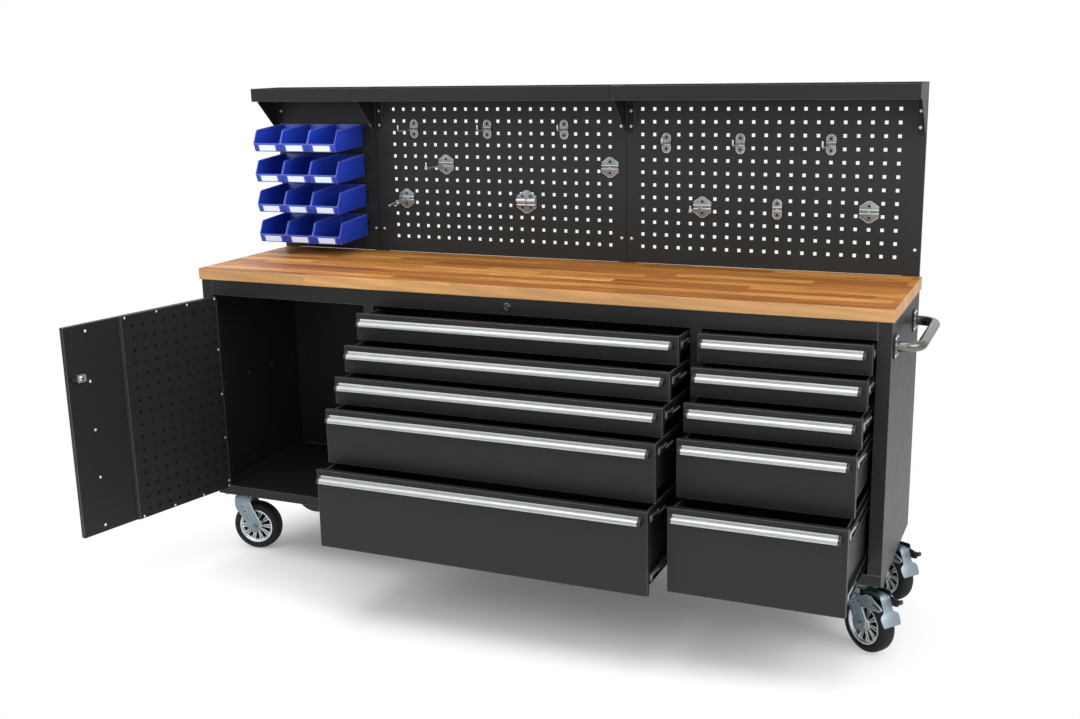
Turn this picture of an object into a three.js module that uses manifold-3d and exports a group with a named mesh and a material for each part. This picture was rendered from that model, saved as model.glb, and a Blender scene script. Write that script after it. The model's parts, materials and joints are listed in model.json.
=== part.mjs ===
// A mobile workshop bench: a steel cabinet with a cupboard and two banks of drawers on four castors,
// a solid wood worktop, and a tool wall behind it with a shelf, hanging bins and perforated panels.
// Millimetres, +Z up. X runs along the bench from its left end, Y runs from the user to the back with
// Y = 0 at the front of the tool wall, and Z = 0 is the floor. The bench stands with its door and
// drawers open. At the end the whole group moves so that its origin is the bottom centre of its box.
import * as THREE from "three";
import { mergeGeometries, mergeVertices } from "three/addons/utils/BufferGeometryUtils.js";
import Module from "manifold-3d";

const wasm = await Module();
wasm.setup();

// ---------------------------------------------------------------- driving dimensions
const gap = 0.3; // between pieces that touch
const sheet = 1.5; // steel sheet

// Worktop
const worktopLength = 2150;
const worktopDepth = 500;
const worktopThickness = 35;
const worktopHeight = 950;
const worktopEdgeRadius = 3;

// Cabinet
const worktopOverhang = 5;
const railHeight = 48;
const railDepth = 25;
const postWidth = 36;
const postDepth = 30;
const backReturn = 30;
const dividerWidth = 30;
const cupboardWidth = 558;
const narrowBankWidth = 462;

// Base tray
const baseHeight = 30;
const baseFlange = 125;
const baseUnderside = 200;
const skirtDrop = 17;
const skirtInset = 331;
const skirtChamfer = 29;

// Drawers
const shallowPitch = 80;
const shallowRows = 3;
const deepPitch = 160;
const topReveal = 5;
const reveal = 3;
const drawerSheet = 1;
const frontDepth = 16;
const boxTopDrop = 7;
const boxBottomRise = 24;
const wideBankOpen = [98, 172, 230, 287, 349];
const narrowBankOpen = [45, 99, 163, 222, 297];

// Drawer slides: a C section on the cabinet and a bar on the drawer that runs inside it
const slideSpace = 12.7;
const slideHeight = 35;
const slideSheet = 2;
const slideClearance = 0.6;
const slideSetback = 20;
const slideRearClearance = 24;

// Drawer handles, full-width extrusions that the fingers reach under
const handleDrop = 14;
const handleHeight = 20.5;
const handleReach = 18;
const handleWall = 2.5;
const handleLeftInset = 6;
const handleRightInset = 14;

// Door
const doorSkin = 14;
const doorRim = 8;
const doorOpenAngle = 102;
const coverWidth = 366;
const coverRise = 5.5;
const coverBend = 6;
const coverFlange = 12;
const hingeOffset = 5;
const hingeRadius = 4.5;
const hingePinRadius = 2.4;
const hingeBoreClearance = 0.5;
const hingeKnuckle = 28;
const hingeLeaf = 1;
const hingeInset = 45;

// Locks
const lockFromFreeEdge = 39;
const lockHeight = 711;
const lockCaseWidth = 27;
const lockCaseHeight = 21;
const lockCaseDepth = 12;
const lockBarrelRadius = 9;
const boltWidth = 12;
const boltThickness = 5;
const boltReach = 30;
const chestLockPosition = 1074;
const chestLockRadius = 11;
const chestLockFace = 3;
const chestLockDepth = 20;
const lockClearance = 0.5;

// Push handle
const pushTubeRadius = 12.5;
const pushReach = 64;
const pushBend = 42;
const pushSpan = 343;
const pushFrontInset = 50;
const pushDrop = 71;
const pushPlateWidth = 44;
const pushPlateHeight = 61;
const pushPlateThickness = 4;

// Castors
const wheelRadius = 80;
const wheelWidth = 46;
const rimRadius = 54;
const hubRadius = 19;
const hubWidth = 48;
const spokeDisc = 14;
const spokeCount = 10;
const spokeWidth = 9;
const axleRadius = 6;
const axleClearance = 0.4;
const castorTrail = 38;
const castorPlateLength = 110;
const castorPlateWidth = 90;
const castorPlateThickness = 6;
const castorEndInset = 62;
const castorFrontInset = 58;
const castorRearInset = 82;
const racewayRadius = 34;
const racewayHeight = 12;
const forkSheet = 4;
const forkTopWidth = 54;
const forkEndRadius = 18;
const legClearance = 1.5;
const pedalRun = 26;
const pedalKneeReach = 41;
const pedalKneeDrop = 33;
const pedalTipReach = 65;
const pedalTipDrop = 80;
const pedalStrap = 34;
const pedalPad = 66;
const pedalShoe = 14;
const pedalSheet = 3;
const pedalPinRadius = 4;
const pedalOffset = 26;
const pedalRise = 6;

// Tool wall
const wallStart = -12;
const wallEndInset = 8;
const binPanelWidth = 386;
const wallHeight = 501;
const holePitch = 38;
const holeSize = 10;
const holeRows = 12;
const holeTopDrop = 31;
const holeEndMargin = 71;
const panelReturn = 10;
const uprightWidth = 50;
const uprightDepth = 12;
const uprightDrop = 397;

// Shelf
const shelfDepth = 143;
const shelfLip = 42;
const gussetReach = 110;
const gussetDrop = 107;
const gussetFlange = 28;
const gussetNose = 5;

// Bins
const binWidth = 103;
const binPitch = 105;
const binColumns = 3;
const binRows = 4;
const binRowPitch = 100;
const binStart = 30;
const binTopDrop = 78.5;
const binWall = 2;
const binStandOff = 9.5;
const binBack = 66;
const binDepth = 144;
const binNoseReach = 36;
const binNoseRise = 29;
const binRimSetback = 20;
const binRimDrop = 13;
const binHeel = 18;
const hookDrop = 4;
const railLip = 16;

// ---------------------------------------------------------------- derived places
const rearPlane = sheet + gap; // back of the cabinet, front of the uprights
const worktopFront = sheet - worktopDepth;
const cabinetLeft = worktopOverhang;
const cabinetRight = worktopLength - worktopOverhang;
const cabinetFront = worktopFront + worktopOverhang;
const cabinetTop = worktopHeight - worktopThickness - gap;
const railBottom = cabinetTop - railHeight;
const baseTop = baseUnderside + baseHeight;
const bodyBottom = baseTop + gap;
const backStart = rearPlane - sheet / 2; // the back sheet laps half-way into the uprights
const linerRear = backStart - gap; // rear end of side panels and dividers
const leftPostInner = cabinetLeft + postWidth;
const rightPostInner = cabinetRight - postWidth;
const leftDivider = leftPostInner + cupboardWidth;
const centreDivider = rightPostInner - narrowBankWidth - dividerWidth;
const plateUnderside = baseUnderside - castorPlateThickness;
const slideY = cabinetFront + slideSetback;
const boxLength = linerRear - slideY - slideRearClearance; // of the drawer boxes and their slides
const wallTop = worktopHeight + gap + wallHeight;
const wallEnd = worktopLength - wallEndInset;
const seamOne = wallStart + binPanelWidth;
const toolPanelWidth = (wallEnd - seamOne) / 2;
const seamTwo = seamOne + toolPanelWidth;
const holeColumns = 1 + Math.floor((toolPanelWidth - holeEndMargin - uprightWidth) / holePitch);
const shelfUnderside = wallTop + gap;
const binTop = wallTop - binTopDrop;

// ---------------------------------------------------------------- finishes
function finish(color, roughness, metalness) {
  return new THREE.MeshStandardMaterial({ color, roughness, metalness });
}
const blackPaint = finish(0x2b2b2b, 0.45, 0.1);
const wood = finish(0xd29a5c, 0.5, 0);
const brushedAluminium = finish(0xc9ccd0, 0.3, 0.9);
const stainless = finish(0xb9babc, 0.25, 1);
const zinc = finish(0x8a999e, 0.4, 0.8);
const tyreAndRim = finish(0x2a2a28, 0.8, 0);
const bluePlastic = finish(0x1f3ba8, 0.4, 0);

// ---------------------------------------------------------------- geometry tools
const bench = new THREE.Group();

function place(name, geometry, material, parent = bench) {
  const mesh = new THREE.Mesh(geometry, material);
  mesh.name = name;
  parent.add(mesh);
  return mesh;
}

function toSolid(geometry) {
  const bare = geometry.clone();
  bare.deleteAttribute("normal");
  bare.deleteAttribute("uv");
  const merged = mergeVertices(bare, 1e-4);
  return new wasm.Manifold(
    new wasm.Mesh({
      numProp: 3,
      vertProperties: new Float32Array(merged.attributes.position.array),
      triVerts: new Uint32Array(merged.index.array),
    }),
  );
}

function toGeometry(solid) {
  const mesh = solid.getMesh();
  const positions = new THREE.BufferAttribute(mesh.vertProperties, 3);
  const geometry = new THREE.BufferGeometry().setAttribute("position", positions);
  geometry.setIndex(new THREE.BufferAttribute(mesh.triVerts, 1));
  const flat = geometry.toNonIndexed();
  flat.computeVertexNormals();
  return flat;
}

function join(...geometries) {
  return toGeometry(geometries.map(toSolid).reduce((a, b) => a.add(b)));
}

function cut(geometry, ...tools) {
  return toGeometry(tools.map(toSolid).reduce((a, b) => a.subtract(b), toSolid(geometry)));
}

function common(a, b) {
  return toGeometry(toSolid(a).intersect(toSolid(b)));
}

// A block between two corners.
function block(x0, x1, y0, y1, z0, z1) {
  const geometry = new THREE.BoxGeometry(x1 - x0, y1 - y0, z1 - z0);
  return geometry.translate((x0 + x1) / 2, (y0 + y1) / 2, (z0 + z1) / 2);
}

function outline(points) {
  return new THREE.Shape(points.map(([u, v]) => new THREE.Vector2(u, v)));
}

// Extrusions of an outline along each axis: (u, v) is (y, z) along X, (x, z) along Y, (x, y) along Z.
function alongZ(shape, z0, z1, curveSegments = 6) {
  const geometry = new THREE.ExtrudeGeometry(shape, { depth: z1 - z0, bevelEnabled: false, curveSegments });
  return geometry.translate(0, 0, z0);
}

function alongX(shape, x0, x1, curveSegments = 6) {
  const turn = new THREE.Matrix4().makeBasis(
    new THREE.Vector3(0, 1, 0),
    new THREE.Vector3(0, 0, 1),
    new THREE.Vector3(1, 0, 0),
  );
  return alongZ(shape, x0, x1, curveSegments).applyMatrix4(turn);
}

function alongY(shape, y0, y1, curveSegments = 6) {
  const turn = new THREE.Matrix4().makeRotationX(Math.PI / 2);
  return alongZ(shape, -y1, -y0, curveSegments).applyMatrix4(turn);
}

// The section of a folded sheet: a path of bends, thickened to its left.
function folded(path, thickness = sheet) {
  const points = path.map(([u, v]) => new THREE.Vector2(u, v));
  const lefts = points.slice(1).map((p, i) => {
    const run = p.clone().sub(points[i]).normalize();
    return new THREE.Vector2(-run.y, run.x);
  });
  const inner = points.map((p, i) => {
    const before = lefts[Math.max(i - 1, 0)];
    const after = lefts[Math.min(i, lefts.length - 1)];
    const mitre = before.clone().add(after);
    return p.clone().addScaledVector(mitre, thickness / (mitre.dot(before)));
  });
  return new THREE.Shape([...points, ...inner.reverse()]);
}

// The same path seen in a mirror at u = centre, run backwards so that it still thickens inwards.
function mirrored(path, centre) {
  return path.map(([u, v]) => [2 * centre - u, v]).reverse();
}

// A turned piece about Z whose closed profile is given as (radius, height) pairs.
function turned(profile, segments) {
  const points = profile.map(([r, h]) => new THREE.Vector2(r, h));
  return new THREE.LatheGeometry(points, segments).rotateX(Math.PI / 2);
}

function cylinder(radius, z0, z1, segments) {
  const geometry = new THREE.CylinderGeometry(radius, radius, z1 - z0, segments).rotateX(Math.PI / 2);
  return geometry.translate(0, 0, (z0 + z1) / 2);
}

// ---------------------------------------------------------------- worktop
function roundedRectangle(u0, u1, v0, v1, radius) {
  const shape = new THREE.Shape();
  shape.absarc(u1 - radius, v0 + radius, radius, -Math.PI / 2, 0);
  shape.absarc(u1 - radius, v1 - radius, radius, 0, Math.PI / 2);
  shape.absarc(u0 + radius, v1 - radius, radius, Math.PI / 2, Math.PI);
  shape.absarc(u0 + radius, v0 + radius, radius, Math.PI, (3 * Math.PI) / 2);
  return shape;
}

const worktopSection = roundedRectangle(
  worktopFront, sheet, worktopHeight - worktopThickness, worktopHeight, worktopEdgeRadius,
);
place("worktop", alongX(worktopSection, 0, worktopLength, 3), wood);

// ---------------------------------------------------------------- drawer layout
const bankTop = railBottom - topReveal;
const shallowTops = Array.from({ length: shallowRows }, (_, row) => bankTop - row * shallowPitch);
const deepTop = bankTop - shallowRows * shallowPitch;
const lastTop = deepTop - deepPitch;
const rowTops = [...shallowTops, deepTop, lastTop];
const rowBottoms = [...rowTops.slice(1), baseTop].map((below) => below + reveal);

const banks = [
  { side: "left", x0: leftDivider + dividerWidth, x1: centreDivider, open: wideBankOpen },
  { side: "right", x0: centreDivider + dividerWidth, x1: rightPostInner, open: narrowBankOpen },
];

// Heights of the slides of one row: one near the top, and one more at the bottom of the tallest row.
function slideCentres(row) {
  const upper = rowTops[row] - boxTopDrop - slideHeight / 2 - slideClearance;
  const lower = rowBottoms[row] + boxBottomRise + slideHeight / 2 + slideClearance;
  return row === rowTops.length - 1 ? [upper, lower] : [upper];
}

// Fixed slide members on a wall at x that faces towards +X (way = 1) or -X (way = -1).
function fixedSlides(x, way) {
  const depth = slideSpace - 2 * gap;
  const seat = x - way * sheet / 2;
  const tip = x + way * depth;
  return rowTops.flatMap((_, row) => slideCentres(row)).map((z) => {
    const low = z - slideHeight / 2;
    const high = z + slideHeight / 2;
    const path = [[tip, high], [seat, high], [seat, low], [tip, low]];
    const section = way > 0 ? path : [...path].reverse();
    return alongY(folded(section, slideSheet), slideY, slideY + boxLength);
  });
}

// ---------------------------------------------------------------- cabinet
function sidePanelPath(postInner) {
  return [
    [postInner, cabinetFront + postDepth],
    [postInner, cabinetFront],
    [cabinetRight, cabinetFront],
    [cabinetRight, linerRear],
    [cabinetRight - backReturn, linerRear],
  ];
}

const benchMiddle = (cabinetLeft + cabinetRight) / 2;
const rightPath = sidePanelPath(rightPostInner);
const leftPath = mirrored(rightPath, benchMiddle);

// A hat section on the right side panel that brings the slides out to the post's inner edge.
function slideCarrier(y) {
  const wall = cabinetRight - sheet / 2;
  const hat = [[wall, y + postDepth], [rightPostInner, y + postDepth], [rightPostInner, y], [wall, y]];
  return alongZ(folded(hat), bodyBottom + sheet, cabinetTop - sheet);
}

const hingeX = leftPostInner + reveal / 2;
const hingeY = cabinetFront - hingeOffset;
const doorTop = railBottom - reveal;
const doorBottom = baseTop + reveal;
const hingeHeights = [doorBottom + hingeInset, doorTop - hingeInset - 2 * hingeKnuckle];

// The frame half of a lift-off hinge: a leaf on the post, a knuckle and the upright pin.
function frameHinge(z) {
  const knuckle = cylinder(hingeRadius, z, z + hingeKnuckle, 10).translate(hingeX, hingeY, 0);
  const pin = cylinder(hingePinRadius, z + hingeKnuckle / 2, z + 1.9 * hingeKnuckle, 10);
  const leafBack = cabinetFront + 0.7 * postDepth;
  const leaf = block(
    leftPostInner - sheet / 2, leftPostInner + hingeLeaf, hingeY, leafBack, z, z + hingeKnuckle,
  );
  return [knuckle, pin.translate(hingeX, hingeY, 0), leaf];
}

place(
  "side_panel_left",
  join(alongZ(folded(leftPath), bodyBottom, cabinetTop), ...hingeHeights.flatMap(frameHinge)),
  blackPaint,
);
place(
  "side_panel_right",
  join(
    alongZ(folded(rightPath), bodyBottom, cabinetTop),
    slideCarrier(slideY + postDepth),
    slideCarrier(slideY + boxLength - 2 * postDepth),
    ...fixedSlides(rightPostInner, -1),
  ),
  blackPaint,
);

// Back sheet with the four channels that carry the tool wall.
function upright(x) {
  const back = rearPlane + uprightDepth;
  const channel = [[x + uprightWidth, back], [x + uprightWidth, rearPlane], [x, rearPlane], [x, back]];
  return alongZ(folded(channel.reverse()), worktopHeight - uprightDrop, wallTop);
}

const uprightPlaces = [
  wallStart,
  seamOne - uprightWidth / 2,
  seamTwo - uprightWidth / 2,
  wallEnd - uprightWidth,
];
const backSheet = block(cabinetLeft, cabinetRight, backStart, backStart + sheet, bodyBottom, cabinetTop);
place("back_panel", join(backSheet, ...uprightPlaces.map(upright)), blackPaint);

// Base tray with a deeper front skirt between the castors and a mounting plate over each castor.
const castorPlaces = [
  { name: "front_left", x: cabinetLeft + castorEndInset, y: cabinetFront + castorFrontInset, turn: 12 },
  { name: "rear_left", x: cabinetLeft + castorEndInset, y: rearPlane - castorRearInset, turn: 20 },
  { name: "front_right", x: cabinetRight - castorEndInset, y: cabinetFront + castorFrontInset, turn: -37 },
  { name: "rear_right", x: cabinetRight - castorEndInset, y: rearPlane - castorRearInset, turn: -37 },
];

function baseTray() {
  const low = baseUnderside - skirtDrop;
  const start = cabinetLeft + skirtInset;
  const end = cabinetRight - skirtInset;
  const lap = baseUnderside + baseHeight / 2;
  const skirt = outline([
    [start, baseUnderside], [start + skirtChamfer, low], [end - skirtChamfer, low],
    [end, baseUnderside], [end, lap], [start, lap],
  ]);
  const plates = castorPlaces.map(({ x, y }) => block(
    x - castorPlateLength / 2, x + castorPlateLength / 2,
    y - castorPlateWidth / 2, y + castorPlateWidth / 2,
    plateUnderside, baseUnderside + sheet / 2,
  ));
  const tray = cut(
    block(cabinetLeft, cabinetRight, cabinetFront, rearPlane, baseUnderside, baseTop),
    block(
      cabinetLeft + sheet, cabinetRight - sheet, cabinetFront + sheet, rearPlane - sheet,
      baseUnderside + sheet, baseTop - sheet,
    ),
    block(
      cabinetLeft + baseFlange, cabinetRight - baseFlange, cabinetFront + baseFlange, rearPlane - baseFlange,
      baseUnderside - sheet, baseUnderside + 2 * sheet,
    ),
  );
  return join(tray, alongY(skirt, cabinetFront + sheet / 2, cabinetFront + 1.5 * sheet), ...plates);
}
place("base_tray", baseTray(), blackPaint);

// Front frame: the top rail with the two double-walled dividers that carry the slides.
function divider(x) {
  const channel = [
    [x, linerRear], [x, cabinetFront], [x + dividerWidth, cabinetFront], [x + dividerWidth, linerRear],
  ];
  return alongZ(folded(channel), bodyBottom, railBottom + sheet / 2);
}

function frontFrame() {
  const railSection = folded([
    [cabinetFront + railDepth, cabinetTop], [cabinetFront, cabinetTop],
    [cabinetFront, railBottom], [cabinetFront + railDepth, railBottom],
  ]);
  const frame = join(
    alongX(railSection, leftPostInner + gap, rightPostInner - gap),
    divider(leftDivider),
    divider(centreDivider),
    ...fixedSlides(leftDivider + dividerWidth, 1),
    ...fixedSlides(centreDivider, -1),
    ...fixedSlides(centreDivider + dividerWidth, 1),
  );
  const keyhole = cylinder(chestLockRadius - 2 + lockClearance, -2 * sheet, 2 * sheet, 16)
    .rotateX(Math.PI / 2)
    .translate(chestLockPosition, cabinetFront, railBottom + railHeight / 2);
  const strike = block(
    leftDivider - sheet, leftDivider + 2 * sheet,
    boltFrontWhenClosed - lockClearance, boltFrontWhenClosed + boltThickness + lockClearance,
    lockHeight - boltWidth / 2 - lockClearance, lockHeight + boltWidth / 2 + lockClearance,
  );
  return cut(frame, keyhole, strike);
}

// ---------------------------------------------------------------- door
// The door is modelled shut about its hinge axis, x to the free edge and y into the cupboard.
const doorStart = reveal / 2;
const doorWidth = cupboardWidth - 2 * reveal;
const doorEnd = doorStart + doorWidth;
const doorFace = hingeOffset;
const doorBack = doorFace + doorSkin;
const coverEnd = doorStart + coverWidth;
const lockX = doorEnd - lockFromFreeEdge;
const boltFront = doorBack + gap + sheet + gap;
const boltFrontWhenClosed = hingeY + boltFront;
place("front_frame", frontFrame(), blackPaint);

// The door half of the hinge: a leaf on the door's edge and a bored knuckle over the pin.
function doorHinge(z) {
  const base = z + hingeKnuckle + gap;
  const bore = hingePinRadius + hingeBoreClearance;
  const knuckle = turned(
    [[bore, 0], [hingeRadius, 0], [hingeRadius, hingeKnuckle], [bore, hingeKnuckle], [bore, 0]], 10,
  ).translate(0, 0, base);
  const leafStart = reveal / 2 - hingeLeaf;
  const leafBack = doorBack - 2 * sheet;
  const leaf = block(leafStart, doorStart + sheet / 2, hingeRadius - 1, leafBack, base, base + hingeKnuckle);
  return [knuckle, leaf];
}

function doorPan() {
  const body = block(doorStart, doorEnd, doorFace, doorBack, doorBottom, doorTop);
  const hollow = block(
    doorStart + sheet, doorEnd - sheet, doorFace + sheet, doorBack - sheet,
    doorBottom + sheet, doorTop - sheet,
  );
  const mouth = block(
    doorStart + doorRim, coverEnd - doorRim, doorBack - 2 * sheet, doorBack + sheet,
    doorBottom + doorRim, doorTop - doorRim,
  );
  const barrelHole = cylinder(lockBarrelRadius + lockClearance, -doorBack - sheet, sheet - doorFace, 16)
    .rotateX(Math.PI / 2)
    .translate(lockX, 0, lockHeight);
  return join(cut(body, hollow, mouth, barrelHole), ...hingeHeights.flatMap(doorHinge));
}

// A raised cover on the hinge side of the door's inner face, bent down to a flange on the plain strip.
function doorCover() {
  const seat = doorBack + gap;
  const section = folded([
    [doorStart + gap, seat], [doorStart + coverBend, seat + coverRise],
    [coverEnd - coverBend, seat + coverRise], [coverEnd, seat], [coverEnd + coverFlange, seat],
  ]);
  return alongZ(section, doorBottom + gap, doorTop - gap);
}

// A rim lock: a case on the inner face with a barrel through the door, and the bolt that it throws.
function lockCase() {
  const seat = doorBack + gap;
  const half = lockCaseWidth / 2;
  const body = block(
    lockX - half, lockX + half, seat, seat + lockCaseDepth,
    lockHeight - lockCaseHeight / 2, lockHeight + lockCaseHeight / 2,
  );
  const boltWay = block(
    lockX - half + sheet, lockX + half + sheet,
    boltFront - gap, boltFront + boltThickness + gap,
    lockHeight - boltWidth / 2 - gap, lockHeight + boltWidth / 2 + gap,
  );
  const barrel = cylinder(lockBarrelRadius, -seat - sheet / 2, gap + 1 - doorFace, 16)
    .rotateX(Math.PI / 2)
    .translate(lockX, 0, lockHeight);
  return join(cut(body, boltWay), barrel);
}

const door = new THREE.Group();
door.position.set(hingeX, hingeY, 0);
door.rotation.z = THREE.MathUtils.degToRad(-doorOpenAngle);
bench.add(door);
place("door", doorPan(), blackPaint, door);
place("door_cover", doorCover(), blackPaint, door);
place("door_lock", lockCase(), zinc, door);
const boltTip = lockX + boltReach;
place("door_bolt", block(
  lockX - lockCaseWidth / 2 + sheet + gap, boltTip, boltFront, boltFront + boltThickness,
  lockHeight - boltWidth / 2, lockHeight + boltWidth / 2,
), zinc, door);

// Central drawer lock in the top rail: a round face with a key slot, on a barrel through the rail.
function chestLock() {
  const barrel = chestLockRadius - 2;
  const body = turned([
    [0, -chestLockDepth], [barrel, -chestLockDepth], [barrel, gap],
    [chestLockRadius, gap], [chestLockRadius, chestLockFace], [0, chestLockFace],
  ], 16);
  const slot = block(-1, 1, -4, 4, chestLockFace - 1.5, chestLockFace + 1);
  return cut(body, slot).rotateX(Math.PI / 2);
}
place("chest_lock", chestLock(), stainless)
  .position.set(chestLockPosition, cabinetFront, railBottom + railHeight / 2);

// ---------------------------------------------------------------- drawers
// The slide member on one side wall of a drawer box, open towards the cabinet (way = -1 is left).
function movingSlide(wall, way, y, z) {
  const half = slideHeight / 2 - slideSheet - slideClearance;
  const seat = wall - way * drawerSheet / 2;
  const tip = wall + way * (slideSpace - slideSheet - slideClearance);
  const path = [[tip, z - half], [seat, z - half], [seat, z + half], [tip, z + half]];
  const section = way < 0 ? path : [...path].reverse();
  const start = y + slideSetback;
  return alongY(folded(section, slideSheet), start, start + boxLength - gap);
}

function drawer({ x0, x1 }, row, y) {
  const top = rowTops[row];
  const bottom = rowBottoms[row];
  const [left, right] = [x0 + reveal, x1 - reveal];
  const [boxLeft, boxRight] = [x0 + slideSpace, x1 - slideSpace];
  const [innerLeft, innerRight] = [boxLeft + drawerSheet, boxRight - drawerSheet];
  const [boxBottom, boxTop] = [bottom + boxBottomRise, top - boxTopDrop];
  const floor = boxBottom + drawerSheet;
  const inner = y + frontDepth;
  const back = inner + boxLength;
  const front = cut(
    block(left, right, y, inner, bottom, top),
    block(left + sheet, right - sheet, y + sheet, inner + sheet, bottom + sheet, top - sheet),
  );
  const box = cut(
    block(boxLeft, boxRight, y + sheet / 2, back, boxBottom, boxTop),
    block(innerLeft, innerRight, inner, back - drawerSheet, floor, boxTop + sheet),
    block(innerLeft, innerRight, y, inner - drawerSheet, floor, boxTop + sheet),
  );
  const bars = slideCentres(row).flatMap((z) => [
    movingSlide(boxLeft, -1, y, z),
    movingSlide(boxRight, 1, y, z),
  ]);
  return join(front, box, ...bars);
}

// Section of the handle as (y, z): a flange on the drawer front and a nose that curls down before it.
function handleSection(y, top) {
  const seat = y - gap;
  const noseRadius = handleReach - handleWall;
  const shape = new THREE.Shape();
  shape.moveTo(seat, top);
  shape.lineTo(seat, top - handleHeight);
  shape.lineTo(seat - handleWall, top - handleHeight);
  shape.lineTo(seat - handleWall, top - 2 * handleWall);
  shape.absarc(
    seat - handleWall, top - 2 * handleWall - (noseRadius - handleWall), noseRadius - handleWall,
    Math.PI / 2, Math.PI, false,
  );
  shape.lineTo(seat - handleReach + handleWall, top - handleHeight);
  shape.lineTo(seat - handleReach, top - handleHeight);
  shape.lineTo(seat - handleReach, top - handleWall - noseRadius);
  shape.absarc(seat - handleWall, top - handleWall - noseRadius, noseRadius, Math.PI, Math.PI / 2, true);
  shape.lineTo(seat - handleWall, top);
  return shape;
}

for (const bank of banks) {
  bank.open.forEach((open, row) => {
    const y = cabinetFront - open;
    place(`drawer_${bank.side}_${row + 1}`, drawer(bank, row, y), blackPaint);
    const section = handleSection(y, rowTops[row] - handleDrop);
    const [start, end] = [bank.x0 + reveal + handleLeftInset, bank.x1 - reveal - handleRightInset];
    place(`handle_${bank.side}_${row + 1}`, alongX(section, start, end, 4), brushedAluminium);
  });
}

// ---------------------------------------------------------------- push handle
function pushHandle() {
  const frontLeg = cabinetFront + pushFrontInset;
  const rearLeg = frontLeg + pushSpan;
  const z = cabinetTop - pushDrop;
  const wall = cabinetRight + gap;
  const start = wall + pushPlateThickness / 2;
  const outer = cabinetRight + pushReach;
  const at = (x, y) => new THREE.Vector3(x, y, z);
  const route = new THREE.CurvePath();
  route.add(new THREE.LineCurve3(at(start, frontLeg), at(outer - pushBend, frontLeg)));
  route.add(new THREE.QuadraticBezierCurve3(
    at(outer - pushBend, frontLeg), at(outer, frontLeg), at(outer, frontLeg + pushBend),
  ));
  route.add(new THREE.LineCurve3(at(outer, frontLeg + pushBend), at(outer, rearLeg - pushBend)));
  route.add(new THREE.QuadraticBezierCurve3(
    at(outer, rearLeg - pushBend), at(outer, rearLeg), at(outer - pushBend, rearLeg),
  ));
  route.add(new THREE.LineCurve3(at(outer - pushBend, rearLeg), at(start, rearLeg)));
  const section = new THREE.Shape().absarc(0, 0, pushTubeRadius, 0, 2 * Math.PI);
  const tube = new THREE.ExtrudeGeometry(section, { steps: 24, curveSegments: 6, extrudePath: route });
  const plates = [frontLeg, rearLeg].map((y) => block(
    wall, wall + pushPlateThickness,
    y - pushPlateWidth / 2, y + pushPlateWidth / 2,
    z - pushPlateHeight / 2, z + pushPlateHeight / 2,
  ));
  return join(tube, ...plates);
}
place("push_handle", pushHandle(), stainless);

// ---------------------------------------------------------------- castors
// Each castor is modelled about its swivel axis, with the mounting plate's underside at z = 0 and the
// wheel trailing towards +X.
const forkTop = -gap;
const crownTop = forkTop - racewayHeight;
const axleZ = wheelRadius - plateUnderside;
const legInner = hubWidth / 2 + legClearance;
const legOuter = legInner + forkSheet;
const pedalEar = 2 * pedalPinRadius;
const pedalPin = { x: castorTrail + pedalOffset, z: crownTop - forkSheet - pedalEar - 1 };

// Outline of the fork from the side as (x, z): broad under the crown, round about the axle.
function forkOutline(hasPedal) {
  const half = forkTopWidth / 2;
  const shape = new THREE.Shape();
  shape.moveTo(-half, crownTop + 1);
  shape.lineTo(-half, crownTop - forkSheet);
  shape.quadraticCurveTo(-half, axleZ / 2, castorTrail - forkEndRadius, axleZ);
  shape.absarc(castorTrail, axleZ, forkEndRadius, Math.PI, 2 * Math.PI - 0.25, false);
  if (hasPedal) {
    shape.lineTo(pedalPin.x - 2, pedalPin.z - pedalEar);
    shape.absarc(pedalPin.x, pedalPin.z, pedalEar, -Math.PI / 2, Math.PI / 2, false);
    shape.lineTo(half, crownTop - forkSheet - 2);
  } else {
    shape.quadraticCurveTo(half + forkSheet, axleZ / 2, half, crownTop - forkSheet);
  }
  shape.lineTo(half, crownTop + 1);
  return shape;
}

// The fork is a U pressed from plate under a raceway, with the axle through its legs.
function fork(hasPedal) {
  const raceway = turned([
    [0, crownTop - forkSheet / 2], [racewayRadius - 6, crownTop - forkSheet / 2],
    [racewayRadius, crownTop + 1], [racewayRadius, forkTop - 4], [racewayRadius - 5, forkTop], [0, forkTop],
  ], 16);
  const foot = axleZ - 2 * forkEndRadius;
  const legs = [[legOuter, foot], [legOuter, crownTop], [-legOuter, crownTop], [-legOuter, foot]];
  const channel = folded(legs, forkSheet);
  const reach = 2 * forkTopWidth;
  const side = alongY(forkOutline(hasPedal), -2 * legOuter, 2 * legOuter, 4);
  const body = join(common(alongX(channel, -reach, reach), side), raceway);
  const axle = cylinder(axleRadius, -legOuter - 6, legOuter + 6, 10)
    .rotateX(Math.PI / 2)
    .translate(castorTrail, 0, axleZ);
  if (!hasPedal) return join(body, axle);
  const bore = cylinder(pedalPinRadius + axleClearance, -2 * legOuter, 2 * legOuter, 10)
    .rotateX(Math.PI / 2)
    .translate(pedalPin.x, 0, pedalPin.z);
  return join(cut(body, bore), axle);
}

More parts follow.
